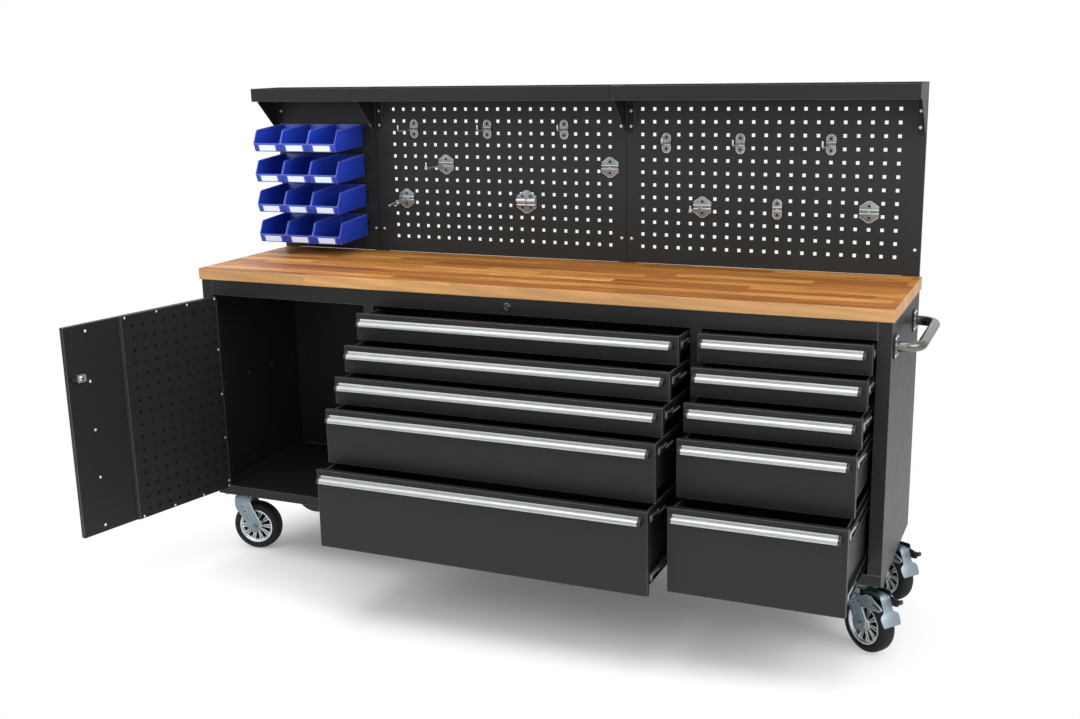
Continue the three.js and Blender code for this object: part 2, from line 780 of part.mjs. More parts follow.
// Wheel about its own axle along Y: a tyre on a rim, a hub, and a disc pierced between its spokes.
function wheel() {
  const half = wheelWidth / 2;
  const shoulder = 10;
  const bore = axleRadius + axleClearance;
  const tyre = turned([
    [rimRadius - 4, -half + 2], [wheelRadius - shoulder, -half], [wheelRadius, -half + shoulder],
    [wheelRadius, half - shoulder], [wheelRadius - shoulder, half],
    [rimRadius - 4, half - 2], [rimRadius - 4, -half + 2],
  ], 2 * spokeCount);
  const hub = turned([
    [bore, -hubWidth / 2], [hubRadius - 3, -hubWidth / 2], [hubRadius, -hubWidth / 2 + 4],
    [hubRadius, hubWidth / 2 - 4], [hubRadius - 3, hubWidth / 2], [bore, hubWidth / 2], [bore, -hubWidth / 2],
  ], 10);
  const spoke = block(hubRadius - 3, rimRadius, -spokeWidth / 2, spokeWidth / 2, -spokeDisc, spokeDisc);
  const spokes = Array.from({ length: spokeCount }, (_, i) =>
    spoke.clone().rotateZ((2 * Math.PI * i) / spokeCount));
  return join(tyre, hub, ...spokes).rotateX(Math.PI / 2);
}

// Brake pedal about its pin: a strap that bends over the tyre, a broad pad on its end and a shoe.
function pedal() {
  const knee = [pedalKneeReach, -pedalKneeDrop];
  const path = [[0, pedalRise], [pedalRun, pedalRise], knee, [pedalTipReach, -pedalTipDrop]];
  const wide = alongY(folded(path, pedalSheet), -pedalPad / 2, pedalPad / 2);
  const half = pedalStrap / 2;
  const notch = (y0, y1) => block(-pedalTipReach, knee[0], y0, y1, -pedalTipDrop, pedalTipDrop);
  const strap = cut(wide, notch(half, pedalPad), notch(-pedalPad, -half));
  const pin = cylinder(pedalPinRadius, -legOuter - pedalSheet, legOuter + pedalSheet, 10);
  const cheek = half - pedalSheet;
  const boss = block(-pedalPinRadius - 1, pedalPinRadius + 1, -cheek, cheek, -5, pedalRise + pedalSheet / 2);
  const shoe = block(-pedalShoe, 0, 1 - cheek, cheek - 1, -pedalRise - 1, -pedalSheet);
  return join(strap, pin.rotateX(Math.PI / 2), boss, shoe);
}

for (const { name, x, y, turn } of castorPlaces) {
  const castor = new THREE.Group();
  castor.position.set(x, y, plateUnderside);
  castor.rotation.z = THREE.MathUtils.degToRad(turn);
  bench.add(castor);
  const hasPedal = name.endsWith("right");
  place(`castor_fork_${name}`, fork(hasPedal), zinc, castor);
  place(`castor_wheel_${name}`, wheel(), tyreAndRim, castor).position.set(castorTrail, 0, axleZ);
  if (hasPedal) place(`brake_pedal_${name}`, pedal(), zinc, castor).position.set(pedalPin.x, 0, pedalPin.z);
}

// ---------------------------------------------------------------- tool wall
const wallBottom = worktopHeight + gap;

// A wall panel between two seams, folded back at top and bottom except where it lies on the uprights.
function wallPanel(x0, x1, ...more) {
  const section = folded([
    [panelReturn, wallTop], [0, wallTop], [0, wallBottom], [panelReturn, wallBottom],
  ]);
  const notch = (from, to) => block(
    from, to, sheet + gap / 2, uprightDepth, wallBottom - sheet, wallTop + sheet,
  );
  return cut(
    alongX(section, x0 + gap / 2, x1 - gap / 2),
    notch(x0 - uprightWidth, x0 + uprightWidth + gap),
    notch(x1 - uprightWidth - gap, x1 + uprightWidth),
    ...more,
  );
}

// A perforated panel whose first column of holes stands at firstColumn.
function toolPanel(x0, firstColumn) {
  const half = holeSize / 2;
  const holes = [];
  for (let row = 0; row < holeRows; row++) {
    for (let column = 0; column < holeColumns; column++) {
      const x = firstColumn + column * holePitch;
      const z = wallTop - holeTopDrop - row * holePitch;
      holes.push(block(x - half, x + half, -sheet, 2 * sheet, z - half, z + half));
    }
  }
  return wallPanel(x0, x0 + toolPanelWidth, mergeGeometries(holes));
}

// The bins' panel is plain and carries one hooked rail for each row of bins.
const railReach = binStandOff - gap;
const hookTop = binTop - hookDrop;

function binRail(row) {
  const top = hookTop - row * binRowPitch;
  const start = wallStart + gussetFlange + 2 * gap;
  const end = wallStart + binStart + binColumns * binPitch + 10;
  const section = folded([
    [-railReach, top], [-railReach, top - railLip], [sheet / 2, top - railLip],
  ], sheet);
  return alongX(section, start, end);
}

function binPanel() {
  const rails = Array.from({ length: binRows }, (_, row) => binRail(row));
  return join(wallPanel(wallStart, seamOne), ...rails);
}

place("bin_panel", binPanel(), blackPaint);
place("tool_panel_middle", toolPanel(seamOne, seamOne + holeEndMargin), blackPaint);
const holeRun = (holeColumns - 1) * holePitch;
place("tool_panel_right", toolPanel(seamTwo, wallEnd - holeEndMargin - holeRun), blackPaint);

// ---------------------------------------------------------------- shelf
// A triangular bracket under the shelf with a flange screwed to the wall, its web at x.
function gusset(x, way) {
  const [web0, web1] = [Math.min(x, x + way * sheet), Math.max(x, x + way * sheet)];
  const seat = -gap;
  const web = outline([
    [seat - sheet / 2, shelfUnderside + sheet / 2], [-gussetReach, shelfUnderside + sheet / 2],
    [-gussetReach, shelfUnderside - gussetNose], [seat - gussetNose, shelfUnderside - gussetDrop + gap],
    [seat - sheet / 2, shelfUnderside - gussetDrop + gap],
  ].reverse());
  const [flange0, flange1] = [Math.min(x, x + way * gussetFlange), Math.max(x, x + way * gussetFlange)];
  return [
    alongX(web, web0, web1),
    block(flange0, flange1, seat - sheet, seat, shelfUnderside - gussetDrop, shelfUnderside + sheet / 2),
  ];
}

function shelfTray(x0, x1, gussets) {
  const back = rearPlane + uprightDepth;
  const [start, end] = [x0 + gap / 2, x1 - gap / 2];
  const tray = cut(
    block(start, end, -shelfDepth, back, shelfUnderside, shelfUnderside + shelfLip),
    block(
      start + sheet, end - sheet, sheet - shelfDepth, back - sheet,
      shelfUnderside + sheet, shelfUnderside + shelfLip + sheet,
    ),
  );
  return join(tray, ...gussets.flat());
}

place("shelf_left", shelfTray(wallStart, seamOne, [gusset(wallStart + gap, 1)]), blackPaint);
place("shelf_middle", shelfTray(seamOne, seamTwo, [gusset(seamOne + gap, 1)]), blackPaint);
place(
  "shelf_right",
  shelfTray(seamTwo, wallEnd, [gusset(seamTwo + gap, 1), gusset(wallEnd - gap, -1)]),
  blackPaint,
);

// ---------------------------------------------------------------- bins
// A hopper-fronted bin with a hook along its back that drops over the rail.
function bin() {
  const back = -binStandOff;
  const nose = [back - binDepth - binNoseReach, -binBack - binHeel + binNoseRise];
  const heel = [back - binDepth, -binBack - binHeel];
  const side = outline([
    [back, 0], [back, -binBack], heel, nose, [nose[0] + binRimSetback, -binRimDrop],
  ].reverse());
  const hollow = outline([
    [back - binWall, binWall], [back - binWall, binWall - binBack],
    [heel[0] + 0.2 * binWall, heel[1] + 1.1 * binWall], [nose[0] + 1.4 * binWall, nose[1]],
    [nose[0] - binWall, nose[1]], [nose[0] - binWall, binWall],
  ].reverse());
  const shell = cut(
    alongX(side, 0, binWidth),
    alongX(hollow, binWall, binWidth - binWall),
  );
  const hookInner = -railReach + sheet + gap;
  const hook = folded([
    [back - binWall / 2, gap - hookDrop], [hookInner, gap - hookDrop], [hookInner, gap - railLip],
  ], binWall);
  return join(shell, alongX(hook, binWall, binWidth - binWall));
}

for (let row = 0; row < binRows; row++) {
  for (let column = 0; column < binColumns; column++) {
    const x = wallStart + binStart + column * binPitch;
    place(`bin_${row + 1}_${column + 1}`, bin(), bluePlastic)
      .position.set(x, 0, binTop - row * binRowPitch);
  }
}

// ---------------------------------------------------------------- origin
bench.updateMatrixWorld(true);
const bounds = new THREE.Box3().setFromObject(bench, true);
const middle = bounds.getCenter(new THREE.Vector3());
bench.position.set(-middle.x, -middle.y, -bounds.min.z);

export default bench;
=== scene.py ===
"""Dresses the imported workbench: finishes for its solids, and the finer pieces that they leave out.

Every length in the classes is in millimetres of the bench's own frame: X from the left end of the
worktop, Y from the front of the tool wall towards the back, Z from the floor. Bench turns them into the
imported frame's metres, from the worktop's box.
"""

from __future__ import annotations

import json
import logging
import math
from collections.abc import Callable, Iterable, Sequence
from dataclasses import dataclass, field
from enum import Enum
from typing import Any, Union

import bmesh
import bpy
from mathutils import Matrix, Vector

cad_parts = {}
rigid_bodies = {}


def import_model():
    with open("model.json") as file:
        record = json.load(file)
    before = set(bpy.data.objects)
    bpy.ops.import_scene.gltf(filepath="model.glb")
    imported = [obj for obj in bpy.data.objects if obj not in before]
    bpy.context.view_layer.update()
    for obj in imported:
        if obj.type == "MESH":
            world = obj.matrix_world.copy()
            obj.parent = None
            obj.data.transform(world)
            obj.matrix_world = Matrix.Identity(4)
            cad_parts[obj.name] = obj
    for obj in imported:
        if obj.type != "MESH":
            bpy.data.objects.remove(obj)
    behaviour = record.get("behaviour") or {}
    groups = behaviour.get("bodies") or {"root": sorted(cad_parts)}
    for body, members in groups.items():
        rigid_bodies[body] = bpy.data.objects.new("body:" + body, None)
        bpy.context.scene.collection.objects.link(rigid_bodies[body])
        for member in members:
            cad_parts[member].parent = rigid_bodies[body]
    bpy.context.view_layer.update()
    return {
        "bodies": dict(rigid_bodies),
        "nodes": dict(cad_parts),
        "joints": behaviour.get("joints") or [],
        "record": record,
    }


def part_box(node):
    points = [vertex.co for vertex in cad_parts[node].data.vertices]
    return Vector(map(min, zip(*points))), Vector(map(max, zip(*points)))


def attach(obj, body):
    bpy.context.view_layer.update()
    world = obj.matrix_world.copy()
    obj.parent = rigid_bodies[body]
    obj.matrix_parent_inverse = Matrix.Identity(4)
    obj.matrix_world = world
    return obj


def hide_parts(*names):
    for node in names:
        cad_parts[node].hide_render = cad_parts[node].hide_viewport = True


LOG = logging.getLogger("workbench")
MM = 0.001

Pair = tuple[float, float]
Triple = tuple[float, float, float]
Colour = tuple[float, float, float]
Ring = list[bmesh.types.BMVert]

BANKS = ("left", "right")
ROWS = range(1, 6)
CASTORS = ("front_left", "rear_left", "front_right", "rear_right")


def srgb(red: int, green: int, blue: int) -> Colour:
    """Turns a colour as it is seen on a screen into the linear one that shaders use.

    Args:
        red: Its red, from 0 to 255.
        green: Its green, from 0 to 255.
        blue: Its blue, from 0 to 255.

    Returns:
        The linear colour.
    """

    def linear(level: int) -> float:
        """Undoes the screen's transfer curve for one level."""
        share = level / 255
        return share / 12.92 if share <= 0.04045 else ((share + 0.055) / 1.055) ** 2.4

    return linear(red), linear(green), linear(blue)


# ------------------------------------------------------------------------------------- shader maths
class Value:
    """A number that changes over a surface, which plain arithmetic works on."""

    def __init__(self, graph: Graph, socket: bpy.types.NodeSocket) -> None:
        """Wraps an output socket of a graph's node."""
        self.graph = graph
        self.socket = socket

    def math(self, operation: str, first: Number, second: Number) -> Value:
        """Adds a Math node.

        Args:
            operation: The node's operation, such as "ADD".
            first: Its first number or link.
            second: Its second number or link.

        Returns:
            The node's result.
        """
        node = self.graph.node("ShaderNodeMath", {"operation": operation}, {0: first, 1: second})
        return Value(self.graph, node.outputs[0])

    def __add__(self, other: Number) -> Value:
        """self + other."""
        return self.math("ADD", self, other)

    def __radd__(self, other: Number) -> Value:
        """other + self."""
        return self.math("ADD", other, self)

    def __sub__(self, other: Number) -> Value:
        """self - other."""
        return self.math("SUBTRACT", self, other)

    def __rsub__(self, other: Number) -> Value:
        """other - self."""
        return self.math("SUBTRACT", other, self)

    def __mul__(self, other: Number) -> Value:
        """self * other."""
        return self.math("MULTIPLY", self, other)

    def __rmul__(self, other: Number) -> Value:
        """other * self."""
        return self.math("MULTIPLY", other, self)

    def __truediv__(self, other: Number) -> Value:
        """self / other."""
        return self.math("DIVIDE", self, other)

    def __rtruediv__(self, other: Number) -> Value:
        """other / self."""
        return self.math("DIVIDE", other, self)

    def maximum(self, other: Number) -> Value:
        """The larger of the two."""
        return self.math("MAXIMUM", self, other)

    def clamped(self) -> Value:
        """The number held between 0 and 1."""
        return self.math("MINIMUM", self.maximum(0.0), 1.0)

    def over(self, threshold: float) -> Value:
        """1 where the number is over the threshold, and 0 elsewhere."""
        return self.math("GREATER_THAN", self, threshold)


Number = Union[float, Value]


class Graph:
    """The nodes of one material or world, and the ways to add to them."""

    def __init__(self, owner: Union[bpy.types.Material, bpy.types.World], output: str) -> None:
        """Empties the owner's nodes and adds an output.

        Args:
            owner: The material or world.
            output: The type name of its output node.
        """
        self.owner = owner
        owner.use_nodes = True
        self.tree = owner.node_tree
        self.tree.nodes.clear()
        self.output = self.node(output)

    @classmethod
    def material(cls, name: str) -> Graph:
        """The graph of a new material."""
        return cls(bpy.data.materials.new(name), "ShaderNodeOutputMaterial")

    @classmethod
    def world(cls, name: str) -> Graph:
        """The graph of a new world."""
        return cls(bpy.data.worlds.new(name), "ShaderNodeOutputWorld")

    def node(self, kind: str, settings: dict | None = None, inputs: dict | None = None) -> bpy.types.Node:
        """Adds one node.

        Args:
            kind: The node's type name.
            settings: Its properties, set before its sockets. "stops" holds a colour ramp's stops.
            inputs: A value, Value, socket or colour for each input, by name or number.

        Returns:
            The node.
        """
        made = self.tree.nodes.new(kind)
        for key, setting in (settings or {}).items():
            if key == "stops":
                self.set_stops(made.color_ramp, setting)
            else:
                setattr(made, key, setting)
        for key, given in (inputs or {}).items():
            self.feed(made.inputs[key], given)
        return made

    def set_stops(self, ramp: bpy.types.ColorRamp, stops: Sequence[tuple[float, Colour]]) -> None:
        """Gives a colour ramp its stops.

        Args:
            ramp: The ramp.
            stops: The place, from 0 to 1, and the colour of each stop.
        """
        while len(ramp.elements) < len(stops):
            ramp.elements.new(0.5)
        for element, (place, colour) in zip(ramp.elements, stops):
            element.position = place
            element.color = (*colour, 1)

    def feed(self, socket: bpy.types.NodeSocket, given: Any) -> None:
        """Links something to an input, or writes it there.

        Args:
            socket: The input.
            given: A Value or socket to link, or a number, colour or vector to write.
        """
        if isinstance(given, Value):
            self.tree.links.new(given.socket, socket)
        elif isinstance(given, bpy.types.NodeSocket):
            self.tree.links.new(given, socket)
        elif socket.type == "RGBA" and len(given) == 3:
            socket.default_value = (*given, 1)
        else:
            socket.default_value = given

    def point(self) -> bpy.types.NodeSocket:
        """The surface point in the piece's own metres."""
        return self.node("ShaderNodeTexCoord").outputs["Object"]

    def stretched(self, point: bpy.types.NodeSocket, factors: Triple) -> bpy.types.NodeSocket:
        """A point with each of its coordinates times a factor."""
        return self.node("ShaderNodeMapping", None, {"Vector": point, "Scale": factors}).outputs[0]

    def noise(self, scale: float, detail: float = 3, stretch: Triple = (1, 1, 1),
              point: bpy.types.NodeSocket | None = None, roughness: float = 0.5) -> Value:
        """Adds cloudy noise.

        Args:
            scale: How many features it has to a metre.
            detail: How many finer layers it has.
            stretch: A factor for the count along each axis.
            point: Where it is looked up, which is the surface point if it isn't given.
            roughness: How much the finer layers add.

        Returns:
            The noise, from 0 to 1.
        """
        where = self.stretched(self.point() if point is None else point, stretch)
        inputs = {"Vector": where, "Scale": scale, "Detail": detail, "Roughness": roughness}
        return Value(self, self.node("ShaderNodeTexNoise", None, inputs).outputs["Fac"])

    def blend(self, share: Number, first: Any, second: Any) -> bpy.types.NodeSocket:
        """Mixes two colours by a share of the second."""
        inputs = {0: share, 6: first, 7: second}
        return self.node("ShaderNodeMix", {"data_type": "RGBA"}, inputs).outputs[2]

    def ramp(self, share: Number, stops: Sequence[tuple[float, Colour]]) -> bpy.types.NodeSocket:
        """Looks a number up in a run of colours."""
        return self.node("ShaderNodeValToRGB", {"stops": stops}, {0: share}).outputs[0]

    def rounded(self, radius: float) -> bpy.types.NodeSocket:
        """The surface's normal with each sharp edge rounded to that radius in metres."""
        return self.node("ShaderNodeBevel", {"samples": 4}, {"Radius": radius}).outputs[0]

    def edges(self, radius: float, gain: float) -> Value:
        """Finds the surface's sharp edges.

        Args:
            radius: How far from an edge it still counts, in metres.
            gain: How steeply the mask rises towards the edge.

        Returns:
            A mask, 1 on the edges and 0 on the flats.
        """
        flat = self.node("ShaderNodeNewGeometry").outputs["Normal"]
        normals = {0: self.rounded(radius), 1: flat}
        alike = self.node("ShaderNodeVectorMath", {"operation": "DOT_PRODUCT"}, normals).outputs[1]
        return (gain * (1.0 - Value(self, alike))).clamped()

    def bump(self, height: Number, depth: float, normal: Any = None) -> bpy.types.NodeSocket:
        """Makes a relief.

        Args:
            height: The height, from 0 to 1.
            depth: The depth of a height of 1, in metres.
            normal: The normal that it starts from, if that isn't the surface's own.

        Returns:
            The normal of the relief.
        """
        inputs = {"Height": height, "Distance": depth, "Strength": 1.0}
        if normal is not None:
            inputs["Normal"] = normal
        return self.node("ShaderNodeBump", None, inputs).outputs[0]

    def surface(self, **inputs: Any) -> bpy.types.Material:
        """Ends the material in one Principled BSDF.

        Args:
            **inputs: What feeds its inputs, which are named with _ for a space.

        Returns:
            The material.
        """
        named = {key.replace("_", " "): given for key, given in inputs.items()}
        shader = self.node("ShaderNodeBsdfPrincipled", None, named)
        self.tree.links.new(shader.outputs[0], self.output.inputs[0])
        return self.owner


# ----------------------------------------------------------------------------------------- finishes
@dataclass(frozen=True)
class PowderCoat:
    """Black fine-textured powder coat on folded sheet steel, with a painted highlight: paler colour along its
    folds.
    """

    name: str
    colour: Colour
    roughness: float = 0.42
    specular: float = 0.34
    edge: float = 0.0011
    # The pale colour and the strength of the painted highlight along folds and edges.
    edge_highlight_colour: Colour = srgb(112, 113, 116)
    edge_highlight_share: float = 0.75
    cloud_count: float = 2.5
    grain_count: float = 900.0
    smudge_count: float = 14.0
    grain_depth: float = 0.00012

    def make(self) -> bpy.types.Material:
        """Builds the material.

        Returns:
            The material.
        """
        graph = Graph.material(self.name)
        cloud = graph.noise(self.cloud_count, 4)
        grain = graph.noise(self.grain_count, 2)
        smudge = graph.noise(self.smudge_count, 5)
        pale = tuple(1.5 * level + 0.0015 for level in self.colour)
        flat = graph.blend(0.55 * cloud + 0.25 * grain, self.colour, pale)
        # Painted highlight: the colour turns paler along sharp folds and edges, as if they caught the light.
        painted_highlight = self.edge_highlight_share * graph.edges(self.edge, 5.0) * (0.55 + 0.45 * smudge)
        return graph.surface(
            Base_Color=graph.blend(painted_highlight, flat, self.edge_highlight_colour),
            Roughness=self.roughness - 0.05 + 0.1 * smudge,
            Specular_IOR_Level=self.specular,
            Normal=graph.bump(grain, self.grain_depth, graph.rounded(self.edge)),
        )


@dataclass(frozen=True)
class StaveWood:
    """Solid hardwood staves glued edge to edge, end-jointed, under a satin oil."""

    name: str = "oiled_staves"
    stave_width: float = 0.045
    stave_length: float = 0.4
    glue_line: float = 0.00035
    tones: tuple[tuple[float, Colour], ...] = (
        (0.0, srgb(108, 58, 14)), (0.3, srgb(142, 84, 26)), (0.55, srgb(167, 107, 41)),
        (0.8, srgb(192, 136, 67)), (1.0, srgb(216, 170, 104)),
    )
    pore_colour: Colour = srgb(112, 68, 26)
    glue_colour: Colour = srgb(118, 72, 28)
    # The pale colour of the painted highlight on the edges and the sideways faces.
    painted_highlight_colour: Colour = srgb(230, 190, 130)
    grain_depth: float = 0.00022
    edge: float = 0.001

    def make(self) -> bpy.types.Material:
        """Builds the material.

        Returns:
            The material.
        """
        graph = Graph.material(self.name)
        point = graph.stretched(graph.point(), (1, 1, 1))
        tone, joint = self.staves(graph, point)
        shift = graph.node("ShaderNodeCombineXYZ", None, {0: 7.0 * tone, 1: 3.0 * tone, 2: 5.0 * tone})
        moved_apart = {0: point, 1: shift.outputs[0]}
        own = graph.node("ShaderNodeVectorMath", {"operation": "ADD"}, moved_apart).outputs[0]
        rings = self.rings(graph, own)
        fibre = graph.noise(4.0, 4.0, (3.0, 150.0, 150.0), own, 0.6)
        flecks = graph.noise(5.0, 2.0, (14.0, 420.0, 420.0), own).over(0.63)
        patch = graph.noise(5.0, 2, (0.5, 1.6, 1.6))
        wood = graph.ramp(0.6 * tone + 0.3 * rings + 0.36 * fibre + 0.3 * patch - 0.28, self.tones)
        pored = graph.blend(0.32 * flecks, wood, self.pore_colour)
        jointed = graph.blend(0.45 * joint, pored, self.glue_colour)
        height = 0.6 * fibre + 0.4 * rings - 0.5 * flecks - 0.8 * joint
        # The base colour takes a painted highlight on the edges and the sideways faces.
        return graph.surface(
            Base_Color=graph.blend(self.painted_highlight(graph), jointed, self.painted_highlight_colour),
            Roughness=0.4 + 0.16 * fibre,
            Specular_IOR_Level=0.4,
            Coat_Weight=0.12,
            Coat_Roughness=0.25,
            Normal=graph.bump(height, self.grain_depth, graph.rounded(self.edge)),
        )

    def staves(self, graph: Graph, point: bpy.types.NodeSocket) -> tuple[Value, Value]:
        """Lays the staves out along X.

        Args:
            graph: The material's nodes.
            point: The point on the board.

        Returns:
            Each stave's own tone, and a mask of the glue lines.
        """
        settings = {"offset": 0.37, "offset_frequency": 2, "squash": 1.25, "squash_frequency": 3}
        brick = graph.node("ShaderNodeTexBrick", settings, {
            "Vector": point, "Color1": (0, 0, 0), "Color2": (1, 1, 1), "Mortar": (0.5, 0.5, 0.5),
            "Scale": 1.0, "Mortar Size": self.glue_line, "Mortar Smooth": 0.2, "Bias": 0.0,
            "Brick Width": self.stave_length, "Row Height": self.stave_width,
        })
        return Value(graph, brick.outputs["Color"]), Value(graph, brick.outputs["Fac"])

    def rings(self, graph: Graph, point: bpy.types.NodeSocket) -> Value:
        """Adds the growth rings.

        Args:
            graph: The material's nodes.
            point: The point in a stave's own wood.

        Returns:
            The rings, from 0 to 1.
        """
        settings = {"wave_type": "BANDS", "bands_direction": "DIAGONAL"}
        wave = graph.node("ShaderNodeTexWave", settings, {
            "Vector": graph.stretched(point, (1.0, 16.0, 16.0)),
            "Scale": 1.7, "Distortion": 9.0, "Detail": 3.0, "Detail Scale": 0.8,
        })
        return Value(graph, wave.outputs["Fac"])

    def painted_highlight(self, graph: Graph) -> Value:
        """Finds where the wood is painted paler as light: along the edges, and on the faces that look
        sideways.

        Args:
            graph: The material's nodes.

        Returns:
            The share of painted highlight.
        """
        normal = graph.node("ShaderNodeNewGeometry").outputs["Normal"]
        upward = Value(graph, graph.node("ShaderNodeSeparateXYZ", None, {0: normal}).outputs[2])
        # Painted light: edges and faces that look sideways turn paler by their direction alone.
        return (0.5 * graph.edges(0.0014, 4.0) + 0.34 * (1.0 - upward).clamped()).clamped()


class Brushing(Enum):
    """The way in which a metal's fine lines run, as a stretch of its noise along each axis."""

    ALONG_X = (0.01, 1.0, 1.0)
    ALONG_Y = (1.0, 0.01, 1.0)
    NONE = (1.0, 1.0, 1.0)


@dataclass(frozen=True)
class Metal:
    """A bare or plated metal."""

    name: str
    colour: Colour
    dull: Colour
    roughness: float
    brushing: Brushing = Brushing.NONE
    line_count: float = 700.0
    line_depth: float = 0.00002
    mottling: float = 30.0
    edge: float = 0.0004

    def make(self) -> bpy.types.Material:
        """Builds the material.

        Returns:
            The material.
        """
        graph = Graph.material(self.name)
        lines = graph.noise(self.line_count, 3, self.brushing.value)
        cloud = graph.noise(self.mottling, 4)
        colour = graph.blend(0.5 * cloud + 0.35 * lines, self.colour, self.dull)
        return graph.surface(
            Base_Color=colour,
            Metallic=1.0,
            Roughness=self.roughness - 0.06 + 0.14 * lines + 0.06 * cloud,
            Normal=graph.bump(lines, self.line_depth, graph.rounded(self.edge)),
        )


@dataclass(frozen=True)
class Plastic:
    """Moulded plastic, rubber or printed card, with a painted highlight along its thin edges where it says
    so.
    """

    name: str
    colour: Colour
    roughness: float
    grain_depth: float = 0.00005
    grain_count: float = 500.0
    contrast: float = 0.3
    specular: float = 0.5
    edge: float = 0.0004
    edge_highlight_colour: Colour | None = None

    def make(self) -> bpy.types.Material:
        """Builds the material.

        Returns:
            The material.
        """
        graph = Graph.material(self.name)
        cloud = graph.noise(22, 4)
        grain = graph.noise(self.grain_count, 2)
        deep = tuple((1 - self.contrast) * level for level in self.colour)
        colour = graph.blend(0.6 * cloud + 0.4 * grain, self.colour, deep)
        # Painted highlight: a pale colour along the thin edges, where rims would catch the light.
        if self.edge_highlight_colour is not None:
            colour = graph.blend(0.85 * graph.edges(self.edge, 4.0), colour, self.edge_highlight_colour)
        return graph.surface(
            Base_Color=colour,
            Roughness=self.roughness - 0.05 + 0.1 * cloud,
            Specular_IOR_Level=self.specular,
            Normal=graph.bump(grain, self.grain_depth, graph.rounded(self.edge)),
        )


class Finishes:
    """The bench's finishes, each made once."""

    def __init__(self) -> None:
        """Builds every material."""
        # The powder coats' edge settings paint highlights along the folds: strongest on the body and drawers,
        # weaker on the wall, cupboard and door cover.
        self.body_paint = PowderCoat(
            "body_powder_coat", srgb(24, 24, 23), specular=0.25, edge=0.0017, edge_highlight_colour=srgb(150, 151, 153),
            edge_highlight_share=0.9,
        ).make()
        self.wall_paint = PowderCoat("tool_wall_powder_coat", srgb(26, 27, 26), 0.5, 0.33, edge_highlight_share=0.4).make()
        self.inner_paint = PowderCoat(
            "cupboard_powder_coat", srgb(25, 25, 24), specular=0.25, edge_highlight_share=0.25,
        ).make()
        self.cover_paint = PowderCoat("door_cover_powder_coat", srgb(23, 23, 21), 0.5, 0.22, edge_highlight_share=0.12).make()
        self.wood = StaveWood().make()
        self.handle = Metal(
            "brushed_handle_aluminium", srgb(192, 194, 193), srgb(158, 161, 161), 0.4,
            Brushing.ALONG_X, 520.0, 0.00003,
        ).make()
        self.stainless = Metal(
            "polished_tube_steel", srgb(122, 121, 117), srgb(80, 79, 76), 0.2, Brushing.ALONG_Y, 600.0,
        ).make()
        self.chrome = Metal("chrome_plate", srgb(220, 222, 225), srgb(178, 181, 186), 0.17).make()
        self.zinc = Metal(
            "bright_zinc_plate", srgb(152, 166, 172), srgb(108, 123, 130), 0.38, mottling=60.0,
        ).make()
        # A darker copy of the zinc: painted shade for zinc parts in shadow, the chest lock's face and the
        # brake's cheeks.
        self.zinc_in_deep_shade = Metal(
            "shaded_zinc_plate", srgb(70, 92, 94), srgb(40, 56, 58), 0.4, mottling=60.0,
        ).make()
        # A darker copy of the zinc: painted shade for the slides, the push handle's plates and the door's
        # bolt, which sit in shadow.
        self.zinc_in_shade = Metal(
            "zinc_plate_painted_shade", srgb(84, 87, 89), srgb(52, 54, 56), 0.36, Brushing.ALONG_Y,
        ).make()
        self.rim = Metal("rim_aluminium", srgb(246, 247, 248), srgb(206, 208, 210), 0.42).make()
        self.hook_plate = Metal(
            "hook_plate_zinc", srgb(166, 172, 174), srgb(82, 86, 88), 0.42, mottling=90.0,
        ).make()
        # A paler copy of the hook zinc: the wire prongs' own bright zinc, and painted highlights on the
        # plates' rims, outer ribs, rivets and clasps.
        self.hook_zinc_highlight = Metal("hook_zinc_wire_and_highlight", srgb(234, 237, 238), srgb(184, 189, 191), 0.42).make()
        self.rubber = Plastic("tyre_rubber", srgb(23, 24, 23), 0.66, 0.00012, 350.0, 0.35, 0.28).make()
        # The bins' last colour paints pale highlights along their rims.
        self.bin_plastic = Plastic(
            "bin_plastic", srgb(30, 60, 178), 0.36, 0.00003, 700.0, 0.3, 0.45, 0.0019, srgb(168, 182, 246),
        ).make()
        self.black_plastic = Plastic("black_plastic", srgb(22, 22, 23), 0.42).make()
        self.card = Plastic("label_card", srgb(222, 236, 255), 0.6, 0.00002, 900.0, 0.03, 0.3).make()
        # Near-black for holes, slots, keyways, seams and gaps: painted shade where light would not reach.
        self.painted_shade = Plastic("near_black_shade_paint", srgb(11, 11, 12), 0.6, specular=0.2).make()


# ------------------------------------------------------------------------------------ mesh building
class Axis(Enum):
    """An axis to extrude or turn along, as the directions of u, v and the axis itself."""

    X = ((0, 1, 0), (0, 0, 1), (1, 0, 0))
    Y = ((0, 0, 1), (1, 0, 0), (0, 1, 0))
    Z = ((1, 0, 0), (0, 1, 0), (0, 0, 1))

    def point(self, u: float, v: float, along: float) -> Vector:
        """The point at u and v across the axis, and so far along it."""
        first, second, third = (Vector(direction) for direction in self.value)
        return u * first + v * second + along * third


def arc(centre: Pair, radius: float, start: float, end: float, steps: int) -> list[Pair]:
    """Points on an arc between two angles in degrees, both ends included."""
    angles = [math.radians(start + (end - start) * step / steps) for step in range(steps + 1)]
    return [(centre[0] + radius * math.cos(a), centre[1] + radius * math.sin(a)) for a in angles]


def curve(start: Pair, control: Pair, end: Pair, steps: int) -> list[Pair]:
    """Points on a quadratic curve that leans towards a control point, both ends included."""
    a, b, c = Vector(start), Vector(control), Vector(end)
    return [tuple(a.lerp(b, t).lerp(b.lerp(c, t), t)) for t in (step / steps for step in range(steps + 1))]


